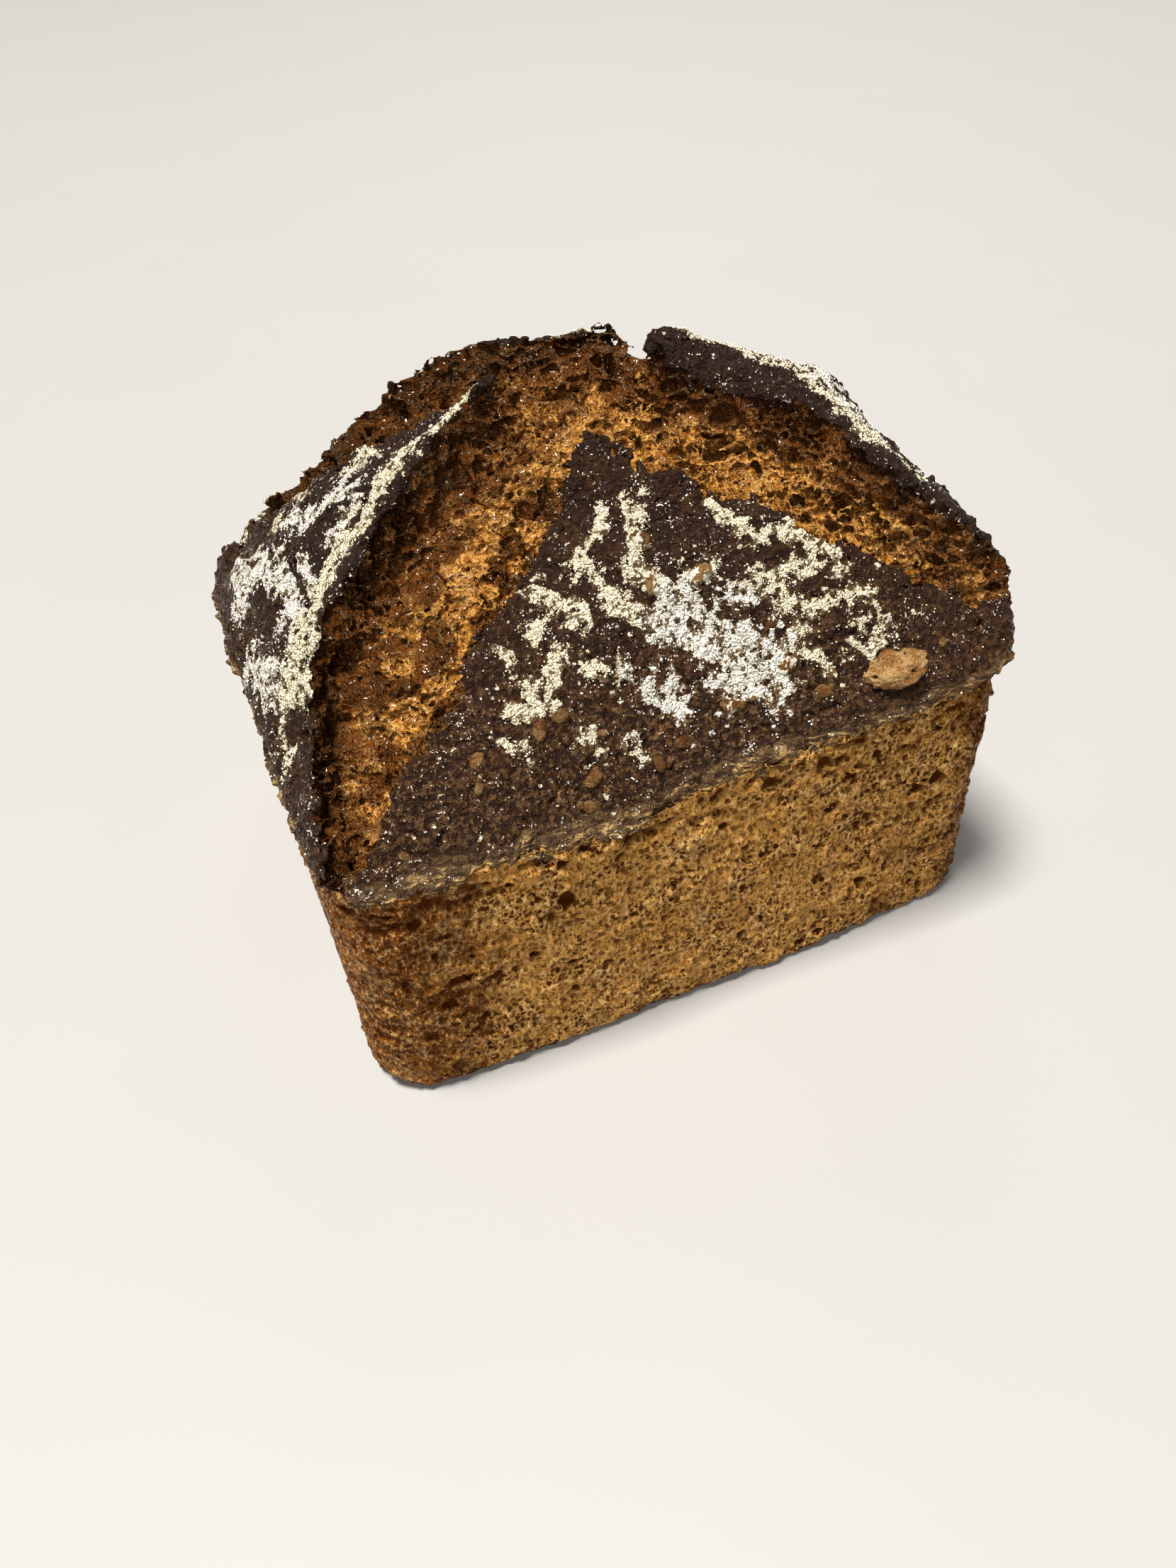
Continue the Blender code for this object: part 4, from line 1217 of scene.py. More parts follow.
@functools.cache
def pores_group():
    """Fine pores too small for the mesh: a mask of their floors, where the materials paint shade, and the
    height round them.
    """
    nodes, source, result = new_group("Fine Pores", {"Size": 1.2, "Reach": 0.45}, ["Pit", "Height"])
    distance, draw = nodes.spots(nodes.bent(nodes.place(), 0.8, 0.6), source["Size"])
    inside = nodes.math("SUBTRACT", nodes.times(draw, source["Reach"]), distance)
    nodes.feed(result, {"Pit": nodes.ramp(inside, -0.03, 0.1),
                        "Height": nodes.ramp(inside, -0.12, 0.14, 1.0, 0.0)})
    return nodes.tree


@functools.cache
def mottle_group():
    """Patches of two sizes: a mask that wanders between 0 and 1."""
    nodes, source, result = new_group(
        "Bake Mottle", {"Patch Size": 6.0, "Fine Size": 0.8, "Sharpness": 0.2}, ["Mask", "Fine"])
    place = nodes.place()
    patches, fine = [nodes.noise(place, source[label], 3.0, 0.5) for label in ("Patch Size", "Fine Size")]
    both = nodes.math("MULTIPLY_ADD", fine, 0.5, patches)
    low, high = [nodes.math(operation, 0.75, source["Sharpness"]) for operation in ("SUBTRACT", "ADD")]
    nodes.feed(result, {"Mask": nodes.ramp(both, low, high), "Fine": fine})
    return nodes.tree


@functools.cache
def glints_group():
    """Small glossy specks: a mask of where a noise is highest."""
    nodes, source, result = new_group("Glints", {"Size": 0.6, "Low": 0.6, "High": 0.65}, ["Mask"])
    noise = nodes.noise(nodes.place(), source["Size"], 2.0)
    nodes.feed(result, {"Mask": nodes.ramp(noise, source["Low"], source["High"])})
    return nodes.tree


# ---------------------------------------------------------------- materials

WARM_TINT = (1.0, 0.7, 0.42, 1.0)
FLOUR_ROUGHNESS = 0.95
FLOOR_ROUGHNESS = 0.6
FLOOR_SHADE = 0.97


def new_material(name):
    """Material, its nodes and its shader."""
    material = bpy.data.materials.new(name)
    material.use_nodes = True
    return material, Nodes(material.node_tree), material.node_tree.nodes["Principled BSDF"]


def dry_flour(nodes, colours, whiteness):
    """Outputs of the flour group in a material, covering what the mesh's flour layer says."""
    return nodes.group(flour_group(), Cover=nodes.layer("flour"), Whiteness=whiteness,
                       Cream=colours.flour_cream, White=colours.flour_white, Thin=colours.flour_thin)


def crust_material(colours):
    """Near-black leathery crust with brown patches, layered above the rim, and thick dry flour, with
    painted shade in the hollows of its leathery relief, painted highlight on its tops, and white specks
    that are partly flour dust and partly painted glints.
    """
    material, nodes, shader = new_material("floured_crust")
    place = nodes.place()
    rise = nodes.layer("rise")
    patches = nodes.group(mottle_group(), Patch_Size=7.0, Fine_Size=0.8, Sharpness=0.2)
    flour = dry_flour(nodes, colours, nodes.layer("white"))
    lumps = nodes.noise(place, 1.6, 4.0, 0.65)
    leather = nodes.noise(place, 1.0, 3.0, 0.6)
    fine = nodes.noise(place, 0.5, 2.0, 0.6)
    strata = nodes.noise(nodes.stretched(4.0), 0.8, 4.0, 0.65)
    # Where the white specks gather: partly flour dust, partly painted glints.
    dust_and_glint_density = nodes.ramp(nodes.noise(place, 3.5, 3.0, 0.6), 0.45, 0.68, 0.0, 0.11)
    brownness = nodes.math("MULTIPLY_ADD", patches["Mask"], 0.65,
                           nodes.ramp(rise, 32.0, 10.0, 0.0, 0.45), clamp=True)
    across = nodes.add("ShaderNodeSeparateXYZ", {"Vector": place})["X"]
    low = nodes.times(nodes.ramp(rise, 27.0, 8.0, 0.15, 0.95), nodes.ramp(across, 0.022, 0.036, 1.0, 0.4))
    band = nodes.times(nodes.ramp(rise, 4.0, 1.6), nodes.ramp(strata, 0.4, 0.5, 0.25, 0.95))
    flaky = nodes.times(nodes.ramp(strata, 0.52, 0.6), nodes.ramp(rise, 3.4, 0.8))
    veil = nodes.times(nodes.ramp(nodes.layer("flour"), 0.3, 0.55, 0.0, 0.12),
                       nodes.ramp(lumps, 0.42, 0.58))
    # White specks on the tops of the fine bump: partly flour dust, partly painted glints.
    specks = nodes.ramp(nodes.math("ADD", fine, dust_and_glint_density), 0.72, 0.74, 0.0, 0.8)
    base = nodes.cover(colours.crust_dark, [
        (brownness, colours.crust_brown),
        (nodes.times(nodes.ramp(lumps, 0.52, 0.6), low), colours.crust_tan),
        # Painted shade: the darkest crust laid in the hollows of the leathery relief that the bump draws.
        (nodes.ramp(leather, 0.52, 0.42, 0.0, 0.92), colours.crust_dark),
        # Painted highlight: tan laid on the tops of that same relief, low on the flaps.
        (nodes.times(nodes.ramp(leather, 0.545, 0.59), low), colours.crust_tan),
        (nodes.ramp(nodes.layer("toast"), 0.25, 0.9, 0.0, 0.92), colours.crust_edge),
        (band, colours.rim_layer),
        (flaky, colours.rim_flake),
        (veil, colours.flour_thin),
        (specks, colours.flour_white),
        (flour["Mask"], flour["Color"]),
    ])
    satin = nodes.ramp(nodes.noise(place, 2.6, 3.0, 0.6), 0.42, 0.6, 0.5, 0.3)
    dull = nodes.math("ADD", satin, nodes.ramp(rise, 5.0, 2.0, 0.0, 0.35))
    rough = nodes.add("ShaderNodeMix", {0: flour["Mask"], 2: dull, 3: FLOUR_ROUGHNESS}, data_type="FLOAT")
    height = nodes.math("MULTIPLY_ADD", fine, 0.55, leather)
    height = nodes.math("MULTIPLY_ADD", flour["Height"], 0.9, height)
    glints = nodes.group(glints_group(), Size=0.7, Low=0.62, High=0.67)["Mask"]
    bare = nodes.math("SUBTRACT", 1.0, flour["Mask"])
    nodes.feed(shader, {"Base Color": base, "Roughness": rough[0], "Normal": nodes.bump(height, 1.15),
                        "Coat Weight": nodes.times(glints, bare), "Coat Roughness": 0.16,
                        "Specular IOR Level": 0.07, "Specular Tint": WARM_TINT})
    return material


def crumb_material(colours):
    """Torn crumb: amber skins and brown toasted lips, with painted highlight on torn ridges and threads,
    and painted shade in bubble floors, fine pits and between threads.
    """
    material, nodes, shader = new_material("torn_crumb")
    place = nodes.place()
    depth = nodes.layer("depth")
    patches = nodes.group(mottle_group(), Patch_Size=6.0, Fine_Size=0.8, Sharpness=0.22)
    pores = nodes.group(pores_group(), Size=1.0, Reach=0.5)
    toast = nodes.math("MULTIPLY_ADD", patches["Mask"], 0.5, nodes.layer("toast"))
    toast = nodes.math("SUBTRACT", toast, 0.25)
    fine = nodes.noise(place, 0.8, 2.5, 0.6)
    # Painted highlight on the tops of torn ridges and of the fine bump.
    crest = nodes.times(nodes.ramp(depth, 0.22, 0.08), nodes.ramp(fine, 0.48, 0.6, 0.0, 0.7))
    wander = nodes.noise(nodes.bent(place, 0.8, 0.7), 1.5, 2.0, 0.6)
    away = nodes.math("ABSOLUTE", nodes.math("SUBTRACT", wander, 0.5))
    base = nodes.cover(colours.crumb_light, [
        (nodes.ramp(patches["Fine"], 0.4, 0.6), colours.crumb_amber),
        # Painted shade: darker the deeper a place lies in the torn crumb's hollows.
        (nodes.ramp(depth, 0.25, 0.75, 0.0, 0.85), colours.crumb_deep_shade),
        (nodes.ramp(toast, 0.05, 0.5), colours.crumb_brown),
        (nodes.ramp(toast, 0.45, 0.95), colours.crumb_burnt_and_shade),
        # Painted shade: the deepest hollows darkest, in the burnt lips' colour.
        (nodes.ramp(depth, 0.75, 1.0, 0.0, 0.4), colours.crumb_burnt_and_shade),
        # Painted shade on the floors of the fine pores that the bump draws.
        (nodes.times(pores["Pit"], 0.75), colours.crumb_deep_shade),
        # Painted highlight on the ridge tops, less where the crumb is toasted.
        (nodes.times(crest, nodes.ramp(toast, 0.6, 0.2, 0.15, 1.0)), colours.crumb_crest_highlight),
        # Painted shade between the raised threads.
        (nodes.ramp(away, 0.05, 0.13, 0.0, 0.65), colours.crumb_deep_shade),
        # Painted highlight on the raised threads.
        (nodes.times(nodes.ramp(away, 0.05, 0.01), nodes.ramp(toast, 0.7, 0.2, 0.05, 0.32)),
         colours.crumb_crest_highlight),
    ])
    height = nodes.math("MULTIPLY_ADD", pores["Height"], 0.7, fine)
    height = nodes.math("MULTIPLY_ADD", nodes.ramp(away, 0.12, 0.0), 0.7, height)
    glints = nodes.group(glints_group(), Size=0.5, Low=0.57, High=0.63)["Mask"]
    glazed = nodes.ramp(nodes.noise(place, 2.2, 3.0, 0.6), 0.4, 0.6, 0.5, 0.12)
    nodes.feed(shader, {"Base Color": base, "Roughness": glazed, "Normal": nodes.bump(height, 0.7),
                        "Coat Weight": glints, "Coat Roughness": 0.14,
                        "Specular IOR Level": 0.09, "Specular Tint": WARM_TINT,
                        "Subsurface Weight": 0.12, "Subsurface Radius": (1.0, 0.45, 0.15),
                        "Subsurface Scale": 0.6 * MM})
    return material


def side_material(colours):
    """Golden tin-baked side, with painted shade in its pores and grain hollows and painted highlight on its
    grain's ridges.
    """
    material, nodes, shader = new_material("tin_baked_side")
    place = nodes.place()
    browned = nodes.layer("browned")
    patches = nodes.group(mottle_group(), Patch_Size=9.0, Fine_Size=1.4, Sharpness=0.3)
    small = nodes.group(pores_group(), Size=1.1, Reach=0.5)
    large = nodes.group(pores_group(), Size=2.0, Reach=0.36)
    grain = nodes.noise(nodes.stretched(0.7), 1.0, 3.0, 0.75)
    rough_zone = nodes.ramp(nodes.noise(place, 9.0, 2.0), 0.42, 0.6, 0.6, 1.0)
    # Painted highlight on the ridges of the grain that the bump draws, where the side is rough.
    pale = nodes.times(nodes.ramp(grain, 0.53, 0.6, 0.0, 0.95), rough_zone)
    pits = nodes.math("MAXIMUM", small["Pit"], large["Pit"])
    base = nodes.cover(colours.side_golden, [
        (patches["Mask"], colours.side_tan),
        (nodes.ramp(browned, 0.1, 0.85), colours.side_brown),
        (nodes.ramp(nodes.noise(place, 7.0, 2.0), 0.54, 0.7, 0.0, 0.4), colours.side_grey),
        (nodes.times(pale, nodes.ramp(browned, 0.2, 0.9, 1.0, 0.55)), colours.side_ridge_highlight),
        # Painted shade in the hollows of the grain that the bump draws.
        (nodes.times(nodes.ramp(grain, 0.465, 0.4), rough_zone), colours.side_pore_shade),
        # Painted shade on the floors of the fine pores.
        (nodes.times(pits, rough_zone), colours.side_pore_shade),
        # Painted shade, darker the deeper a place lies in the mesh's pores and holes.
        (nodes.ramp(nodes.layer("depth"), 0.2, 0.75), colours.side_pore_shade),
    ])
    height = nodes.math("MULTIPLY_ADD", small["Height"], 0.5, grain)
    height = nodes.math("MULTIPLY_ADD", large["Height"], 0.8, height)
    glints = nodes.group(glints_group(), Size=0.6, Low=0.63, High=0.68)["Mask"]
    nodes.feed(shader, {"Base Color": base, "Roughness": nodes.ramp(grain, 0.35, 0.6, 0.7, 0.32),
                        "Normal": nodes.bump(height, 1.2), "Coat Weight": glints,
                        "Coat Roughness": 0.2, "Specular IOR Level": 0.05,
                        "Specular Tint": (1.0, 0.64, 0.36, 1.0)})
    return material


def grain_material(colours):
    """Toasted grain and nut: amber with darker creases and painted shade in the hollows of its fine bump,
    dusted with flour.
    """
    material, nodes, shader = new_material("toasted_grain")
    patches = nodes.group(mottle_group(), Patch_Size=2.6, Fine_Size=0.5, Sharpness=0.1)
    flour = dry_flour(nodes, colours, 0.8)
    tint = nodes.layer("tint")
    fine = nodes.noise(nodes.place(), 0.4, 4.0, 0.65)
    base = nodes.cover(colours.grain_light, [
        (tint, colours.grain_dark),
        (nodes.times(patches["Mask"], nodes.ramp(tint, 0.3, 0.0, 0.3, 0.75)), colours.grain_pale),
        # Painted shade in the hollows of the fine bump.
        (nodes.ramp(fine, 0.5, 0.38, 0.0, 0.6), colours.grain_dark),
        (nodes.ramp(nodes.layer("crease"), 0.3, 0.85), colours.crust_dark),
        (flour["Mask"], flour["Color"]),
    ])
    nodes.feed(shader, {"Base Color": base, "Roughness": nodes.ramp(fine, 0.3, 0.7, 0.2, 0.5),
                        "Normal": nodes.bump(fine, 0.9), "Specular IOR Level": 0.25,
                        "Specular Tint": (1.0, 0.76, 0.5, 1.0)})
    return material


def flour_material(colours):
    """Loose flour granules."""
    material, nodes, shader = new_material("loose_flour")
    base = nodes.blend(nodes.layer("white"), colours.flour_cream, colours.flour_white)
    nodes.feed(shader, {"Base Color": base, "Roughness": FLOUR_ROUGHNESS})
    return material


def floor_material(colours):
    """Plain pale floor."""
    material, nodes, shader = new_material("pale_floor")
    share = nodes.noise(nodes.place(), 60.0, 2.0)
    base = nodes.blend(share, colours.floor, colours.floor * FLOOR_SHADE)
    nodes.feed(shader, {"Base Color": base, "Roughness": FLOOR_ROUGHNESS})
    return material


# ---------------------------------------------------------------- settings


def colour_setting(name, description, default):
    """Colour property."""
    return FloatVectorProperty(name=name, description=description, subtype="COLOR", size=3,
                               min=0.0, max=1.0, default=default)


def length_setting(name, description, millimetres):
    """Length property."""
    return FloatProperty(name=name, description=description, default=millimetres * MM,
                         unit="LENGTH", precision=5)


def angle_setting(name, description, degrees):
    """Angle property."""
    return FloatProperty(name=name, description=description, default=math.radians(degrees),
                         subtype="ANGLE", unit="ROTATION")


def power_setting(name, description, watts):
    """Power property."""
    return FloatProperty(name=name, description=description, default=watts, unit="POWER")


def count_setting(name, description, default):
    """Property for a number of things."""
    return IntProperty(name=name, description=description, default=default, min=0)


class LoafSizes(bpy.types.PropertyGroup):
    """Sizes of the loaf's fine surface and loose grains."""

    crown_step: length_setting("Crown step", "Spacing of the crown's surface points", 0.40)
    far_crown_step: length_setting("Far crown step", "Spacing at the crown's back", 0.70)
    side_step: length_setting("Side step", "Spacing of the front's surface points", 0.48)
    far_side_step: length_setting("Far side step", "Spacing on the other sides", 1.0)
    granule: length_setting("Flour granule", "Usual width of a loose flour granule", 0.45)
    granules: count_setting("Granules", "Number of loose flour granules", 5000)
    small_grains: count_setting("Small grains", "Number of small grains in the crust", 12)


class LoafColours(bpy.types.PropertyGroup):
    """Colours of crust, crumb, sides, grains and floor."""

    # The darkest crust also stands for painted shade in the hollows of the crust's leathery relief.
    crust_dark: colour_setting("Crust", "Darkest crust", (0.032, 0.0092, 0.0013))
    crust_brown: colour_setting("Crust brown", "Brown patches of the crust", (0.25, 0.098, 0.022))
    crust_edge: colour_setting("Crust edge", "Blue-black crust along the lips", (0.018, 0.011, 0.010))
    # Tan also stands for painted highlight on the tops of the crust's leathery relief.
    crust_tan: colour_setting("Crust tan", "Tan fragments in the crust", (0.60, 0.31, 0.105))
    rim_layer: colour_setting("Rim layer", "Grey-brown band above the rim", (0.10, 0.060, 0.032))
    rim_flake: colour_setting("Rim flake", "Tan flakes along the rim", (0.46, 0.29, 0.11))
    flour_cream: colour_setting("Flour cream", "Baked flour", (0.99, 0.90, 0.65))
    # Flour white also paints the crust's specks, which are partly flour dust and partly painted glints.
    flour_white: colour_setting("Flour white", "Unbaked flour", (0.99, 0.95, 0.84))
    flour_thin: colour_setting("Flour thin", "Thin flour over the crust", (0.66, 0.48, 0.25))
    # This colour is painted highlight, laid on the tops of the torn ridges and threads.
    crumb_crest_highlight: colour_setting("Crumb crest", "Palest torn ridges", (0.58, 0.37, 0.15))
    crumb_light: colour_setting("Crumb light", "Pale crumb", (0.56, 0.26, 0.047))
    crumb_amber: colour_setting("Crumb amber", "Amber crumb", (0.43, 0.162, 0.022))
    # This colour is painted shade, laid in the crumb's hollows, fine pits and between its threads.
    crumb_deep_shade: colour_setting("Crumb deep", "Floors of the bubbles", (0.085, 0.022, 0.002))
    crumb_brown: colour_setting("Crumb brown", "Toasted crumb", (0.12, 0.040, 0.008))
    # Burnt lips, and also painted shade in the crumb's deepest hollows.
    crumb_burnt_and_shade: colour_setting("Crumb burnt", "Burnt lips", (0.026, 0.0095, 0.0028))
    side_golden: colour_setting("Side golden", "Golden side", (0.565, 0.262, 0.049))
    side_tan: colour_setting("Side tan", "Tan side", (0.53, 0.268, 0.067))
    side_brown: colour_setting("Side brown", "Browned corners and foot", (0.20, 0.070, 0.011))
    # This colour is painted highlight on the sides' grain ridges.
    side_ridge_highlight: colour_setting("Side pale", "Pale ridges", (0.88, 0.56, 0.225))
    side_grey: colour_setting("Side grey", "Greyish patches", (0.40, 0.25, 0.11))
    # This colour is painted shade, laid in the sides' pores, holes and grain hollows.
    side_pore_shade: colour_setting("Side pore", "Floors of the pores", (0.08, 0.019, 0.0018))
    grain_pale: colour_setting("Grain pale", "Palest part of the nut", (0.58, 0.38, 0.16))
    grain_light: colour_setting("Grain light", "Toasted grain", (0.30, 0.13, 0.035))
    # Darker grain, also laid as painted shade in the hollows of the grains' fine bump.
    grain_dark: colour_setting("Grain dark", "Darker grain", (0.060, 0.021, 0.006))
    floor: colour_setting("Floor", "Pale floor", (0.36, 0.352, 0.34))


class LoafStage(bpy.types.PropertyGroup):
    """Camera and lights."""

    azimuth: angle_setting("Azimuth", "Camera's turn round the loaf", -20.3)
    elevation: angle_setting("Elevation", "Camera's height angle", 42.5)
    roll: angle_setting("Roll", "Camera's roll", -4.4)
    distance: FloatProperty(name="Distance", description="Camera's distance from what it aims at",
                            default=0.2213, unit="LENGTH")
    aim: FloatVectorProperty(name="Aim", description="Place that the camera aims at",
                             default=(-0.0107, -0.0265, 0.036), subtype="TRANSLATION", unit="LENGTH")
    lens: FloatProperty(name="Lens", description="Focal length in millimetres on a 36 mm frame",
                        default=27.05)
    key_power: power_setting("Key light", "Power of the large light above", 780.0)
    fill_power: power_setting("Fill light", "Power of the light from the front", 112.0)
    back_power: power_setting("Back light", "Power of the light from behind", 30.0)
    backdrop: FloatProperty(name="Backdrop", description="Brightness of the sky behind the floor",
                            default=0.5)
    sky: FloatProperty(name="Sky", description="Strength of the soft light from all round",
                       default=0.05)


# ---------------------------------------------------------------- pieces

# Small grains low on the front flap: plan area, below a line that rises to the right, and sizes.
SMALL_GRAIN_X = (-50.0, 55.0)
SMALL_GRAIN_Y = (-54.5, -38.0)
SMALL_GRAIN_LENGTH = (1.5, 2.9)
SMALL_GRAIN_PLUMPNESS = (0.65, 0.9)
SMALL_GRAIN_LINE = (-44.0, 0.1)
NUT_CLEARANCE = 9.0
DROP_HEIGHT = 200.0
GRAIN_HALF_HEIGHT = 0.43
GRAIN_FLOURED = 0.75
GRAIN_DRAWS_SEED = 81
FLOUR_DRAWS_SEED = 84

# How uneven a grain is: roundness, swell, lumps and depth of its creases.
Uneven = namedtuple("Uneven", "roundness swell lumps creases")
NUT_UNEVEN = Uneven(5, 0.3, 0.12, 1.0)
GRAIN_UNEVEN = Uneven(3, 0.2, 0.07, 0.3)

# Noises of a grain as wavelength and seed, in a place that differs from grain to grain.
GRAIN_SPREAD = 2.3
GRAIN_SHIFT = 7.0
GRAIN_SWELL = (1.5, 82)
GRAIN_LUMPS = (0.5, 85)
CREASE_LINES = (2.2, 83)
CREASE_BENDS = (0.6, 86)
CREASE_BEND = 0.1
CREASE_WIDTH = 0.08
CREASE_DEPTH = 0.17
GRAIN_LEAN = (0.0, -0.5, 1.0)
GRAIN_TINTS = (0.6, 1.0)

# Loose flour: its weight on bare crust, and a granule's shift, width and unevenness.
BARE_CRUST_WEIGHT = 0.02
GRANULE_SHIFT = (-0.2, 0.2)
GRANULE_WIDTH = (0.35, 1.0)
GRANULE_JITTER = (0.7, 1.3)

GRANULE_POINTS = np.array([(1, 0, 0), (-1, 0, 0), (0, 1, 0), (0, -1, 0), (0, 0, 1), (0, 0, -1)])
GRANULE_FACES = np.array([(0, 2, 4), (2, 1, 4), (1, 3, 4), (3, 0, 4),
                          (2, 0, 5), (1, 2, 5), (3, 1, 5), (0, 3, 5)])


def mesh_step(length):
    return length / MM * 1.0


def crown_parts(sizes):
    """The nearer, finer surface of the crown and the farther, coarser one."""
    return (crown_surface(mesh_step(sizes.crown_step), False),
            crown_surface(mesh_step(sizes.far_crown_step), True))


def face_mean(surface, values):
    """Mean of a value over each face's points."""
    return values[surface.faces].mean(axis=1)


def face_middles(surface):
    """Middle of each face in plan and height."""
    return surface.points[surface.faces].mean(axis=1)


def is_crust(surface):
    """Mask of the faces that are crust and not torn crumb."""
    return face_mean(surface, surface.layers["crust"]) > 0.5


def flap_of(middles):
    """Number of the flap nearest to each place, by quarter of the loaf's plan."""
    across = (middles[:, 0] - BODY_CENTRE_X) / WIDTH
    back = (middles[:, 1] - BODY_CENTRE_Y) / DEPTH
    return np.where(np.abs(across) < np.abs(back), np.where(back < 0.0, 0, 3),
                    np.where(across < 0.0, 1, 2))


class LOAF_OT_crust(bpy.types.Operator):
    """Make the four floured crust flaps"""

    bl_idname = "loaf.crust"
    bl_label = "Crust Flaps"

    def execute(self, context):
        material = crust_material(context.scene.loaf_colours)
        for surface, ending in zip(crown_parts(context.scene.loaf_sizes), ("", "_far")):
            crust = is_crust(surface)
            quarter = flap_of(face_middles(surface))
            for number, flap in enumerate(FLAPS):
                chosen = crust & (quarter == number)
                if chosen.any():
                    add_part(f"crust_{flap.name}{ending}", surface, chosen, material,
                             ("flour", "white", "toast", "rise"))
        return {"FINISHED"}


class LOAF_OT_crumb(bpy.types.Operator):
    """Make the torn crumb between the flaps"""

    bl_idname = "loaf.crumb"
    bl_label = "Torn Crumb"

    def execute(self, context):
        material = crumb_material(context.scene.loaf_colours)
        near, far = crown_parts(context.scene.loaf_sizes)
        third = np.digitize(face_middles(near)[:, 0], CRUMB_SPLITS_X)
        parts = [(name, near, third == number) for number, name in enumerate(("left", "middle", "right"))]
        for name, surface, chosen in (*parts, ("back", far, True)):
            add_part(f"crumb_{name}", surface, chosen & ~is_crust(surface), material,
                     ("toast", "depth"))
        return {"FINISHED"}


class LOAF_OT_sides(bpy.types.Operator):
    """Make the tin-baked sides and the base"""

    bl_idname = "loaf.sides"
    bl_label = "Tin-baked Sides"

    def execute(self, context):
        sizes = context.scene.loaf_sizes
        material = side_material(context.scene.loaf_colours)
        layers = ("depth", "browned")
        for name, length, far in (("side_front", sizes.side_step, False),
                                  ("side_back", sizes.far_side_step, True)):
            surface = side_surface(mesh_step(length), wanted_part(side_farness, far))
            sides = face_mean(surface, surface.layers["wall"]) > -BASE_INSET
            sides &= in_part(surface, side_farness, far)
            add_part(name, surface, sides, material, layers)
        surface = side_surface(BASE_STEP, everywhere)
        inner = face_mean(surface, surface.layers["wall"]) < BASE_OVERLAP - BASE_INSET
        base = inner & (face_middles(surface)[:, 2] < BASE_TOP)
        add_part("base", surface, base, material, layers)
        return {"FINISHED"}


@functools.cache
def crust_tree():
    """Search tree of the crown's nearer surface, for laying things on it."""
    surface = crown_parts(bpy.context.scene.loaf_sizes)[0]
    return BVHTree.FromPolygons(surface.points.tolist(), surface.faces.tolist())


def ball_shape(subdivisions):
    """Points and triangles of a unit ball."""
    shape = bmesh.new()
    bmesh.ops.create_icosphere(shape, subdivisions=subdivisions, radius=1.0)
    points = np.array([point.co for point in shape.verts])
    triangles = np.array([[point.index for point in face.verts] for face in shape.faces])
    shape.free()
    return points, triangles


def small_grain_places(count, draws):
    """Seeded plan places, sizes and turns of small grains low on the front flap."""
    places = []
    while len(places) < count:
        x, y, length, turn = [draws.uniform(*limits) for limits in
                              (SMALL_GRAIN_X, SMALL_GRAIN_Y, SMALL_GRAIN_LENGTH, (0.0, 180.0))]
        height, slope = SMALL_GRAIN_LINE
        if y < height + slope * x and abs(x - KERNELS[0][0]) > NUT_CLEARANCE:
            places.append((x, y, length, length * draws.uniform(*SMALL_GRAIN_PLUMPNESS), turn))
    return places


def lumpy_grain(number, length, width):
    """Points, triangles and creases of one uneven grain; the first is the cracked nut piece."""
    uneven = GRAIN_UNEVEN if number else NUT_UNEVEN
    ball, triangles = ball_shape(uneven.roundness)
    place = (ball * GRAIN_SPREAD + number * GRAIN_SHIFT).T
    swell = uneven.swell * lattice_noise(*place, *GRAIN_SWELL)
    lumps = 1.0 + swell + uneven.lumps * lattice_noise(*place, *GRAIN_LUMPS)
    bent = lattice_noise(*place, *CREASE_LINES)
    bent = bent + CREASE_BEND * lattice_noise(*place, *CREASE_BENDS)
    crease = (1.0 - ease(np.abs(bent), 0.0, CREASE_WIDTH)) * uneven.creases
    half = np.array([length / 2.0, width / 2.0, width * GRAIN_HALF_HEIGHT])
    return ball * half * (lumps - CREASE_DEPTH * crease)[:, None], triangles, crease


def sunk_share(number):
    """Share of its width by which a grain is sunk into the crust."""
    if number == 0:
        return NUT_SUNK
    return KERNEL_SUNK if number < FIRST_SMALLER_KERNEL else SMALL_GRAIN_SUNK


def laid_grain(number, x, y, length, width, turn):
    """Points, triangles and creases of a grain laid on the crust, long way along its turn."""
    hit, normal, _, _ = crust_tree().ray_cast(Vector((x, y, DROP_HEIGHT)), Vector((0, 0, -1)))
    heading = Matrix.Rotation(math.radians(turn), 3, "Z") @ Vector((1, 0, 0))
    normal = (normal + Vector(GRAIN_LEAN)).normalized()
    across = normal.cross(heading).normalized()
    turned = np.array(Matrix((across.cross(normal), across, normal)).transposed())
    shape, triangles, crease = lumpy_grain(number, length, width)
    place = np.array(hit + normal * width * (0.5 - sunk_share(number)))
    return shape @ turned.T + place, triangles, crease


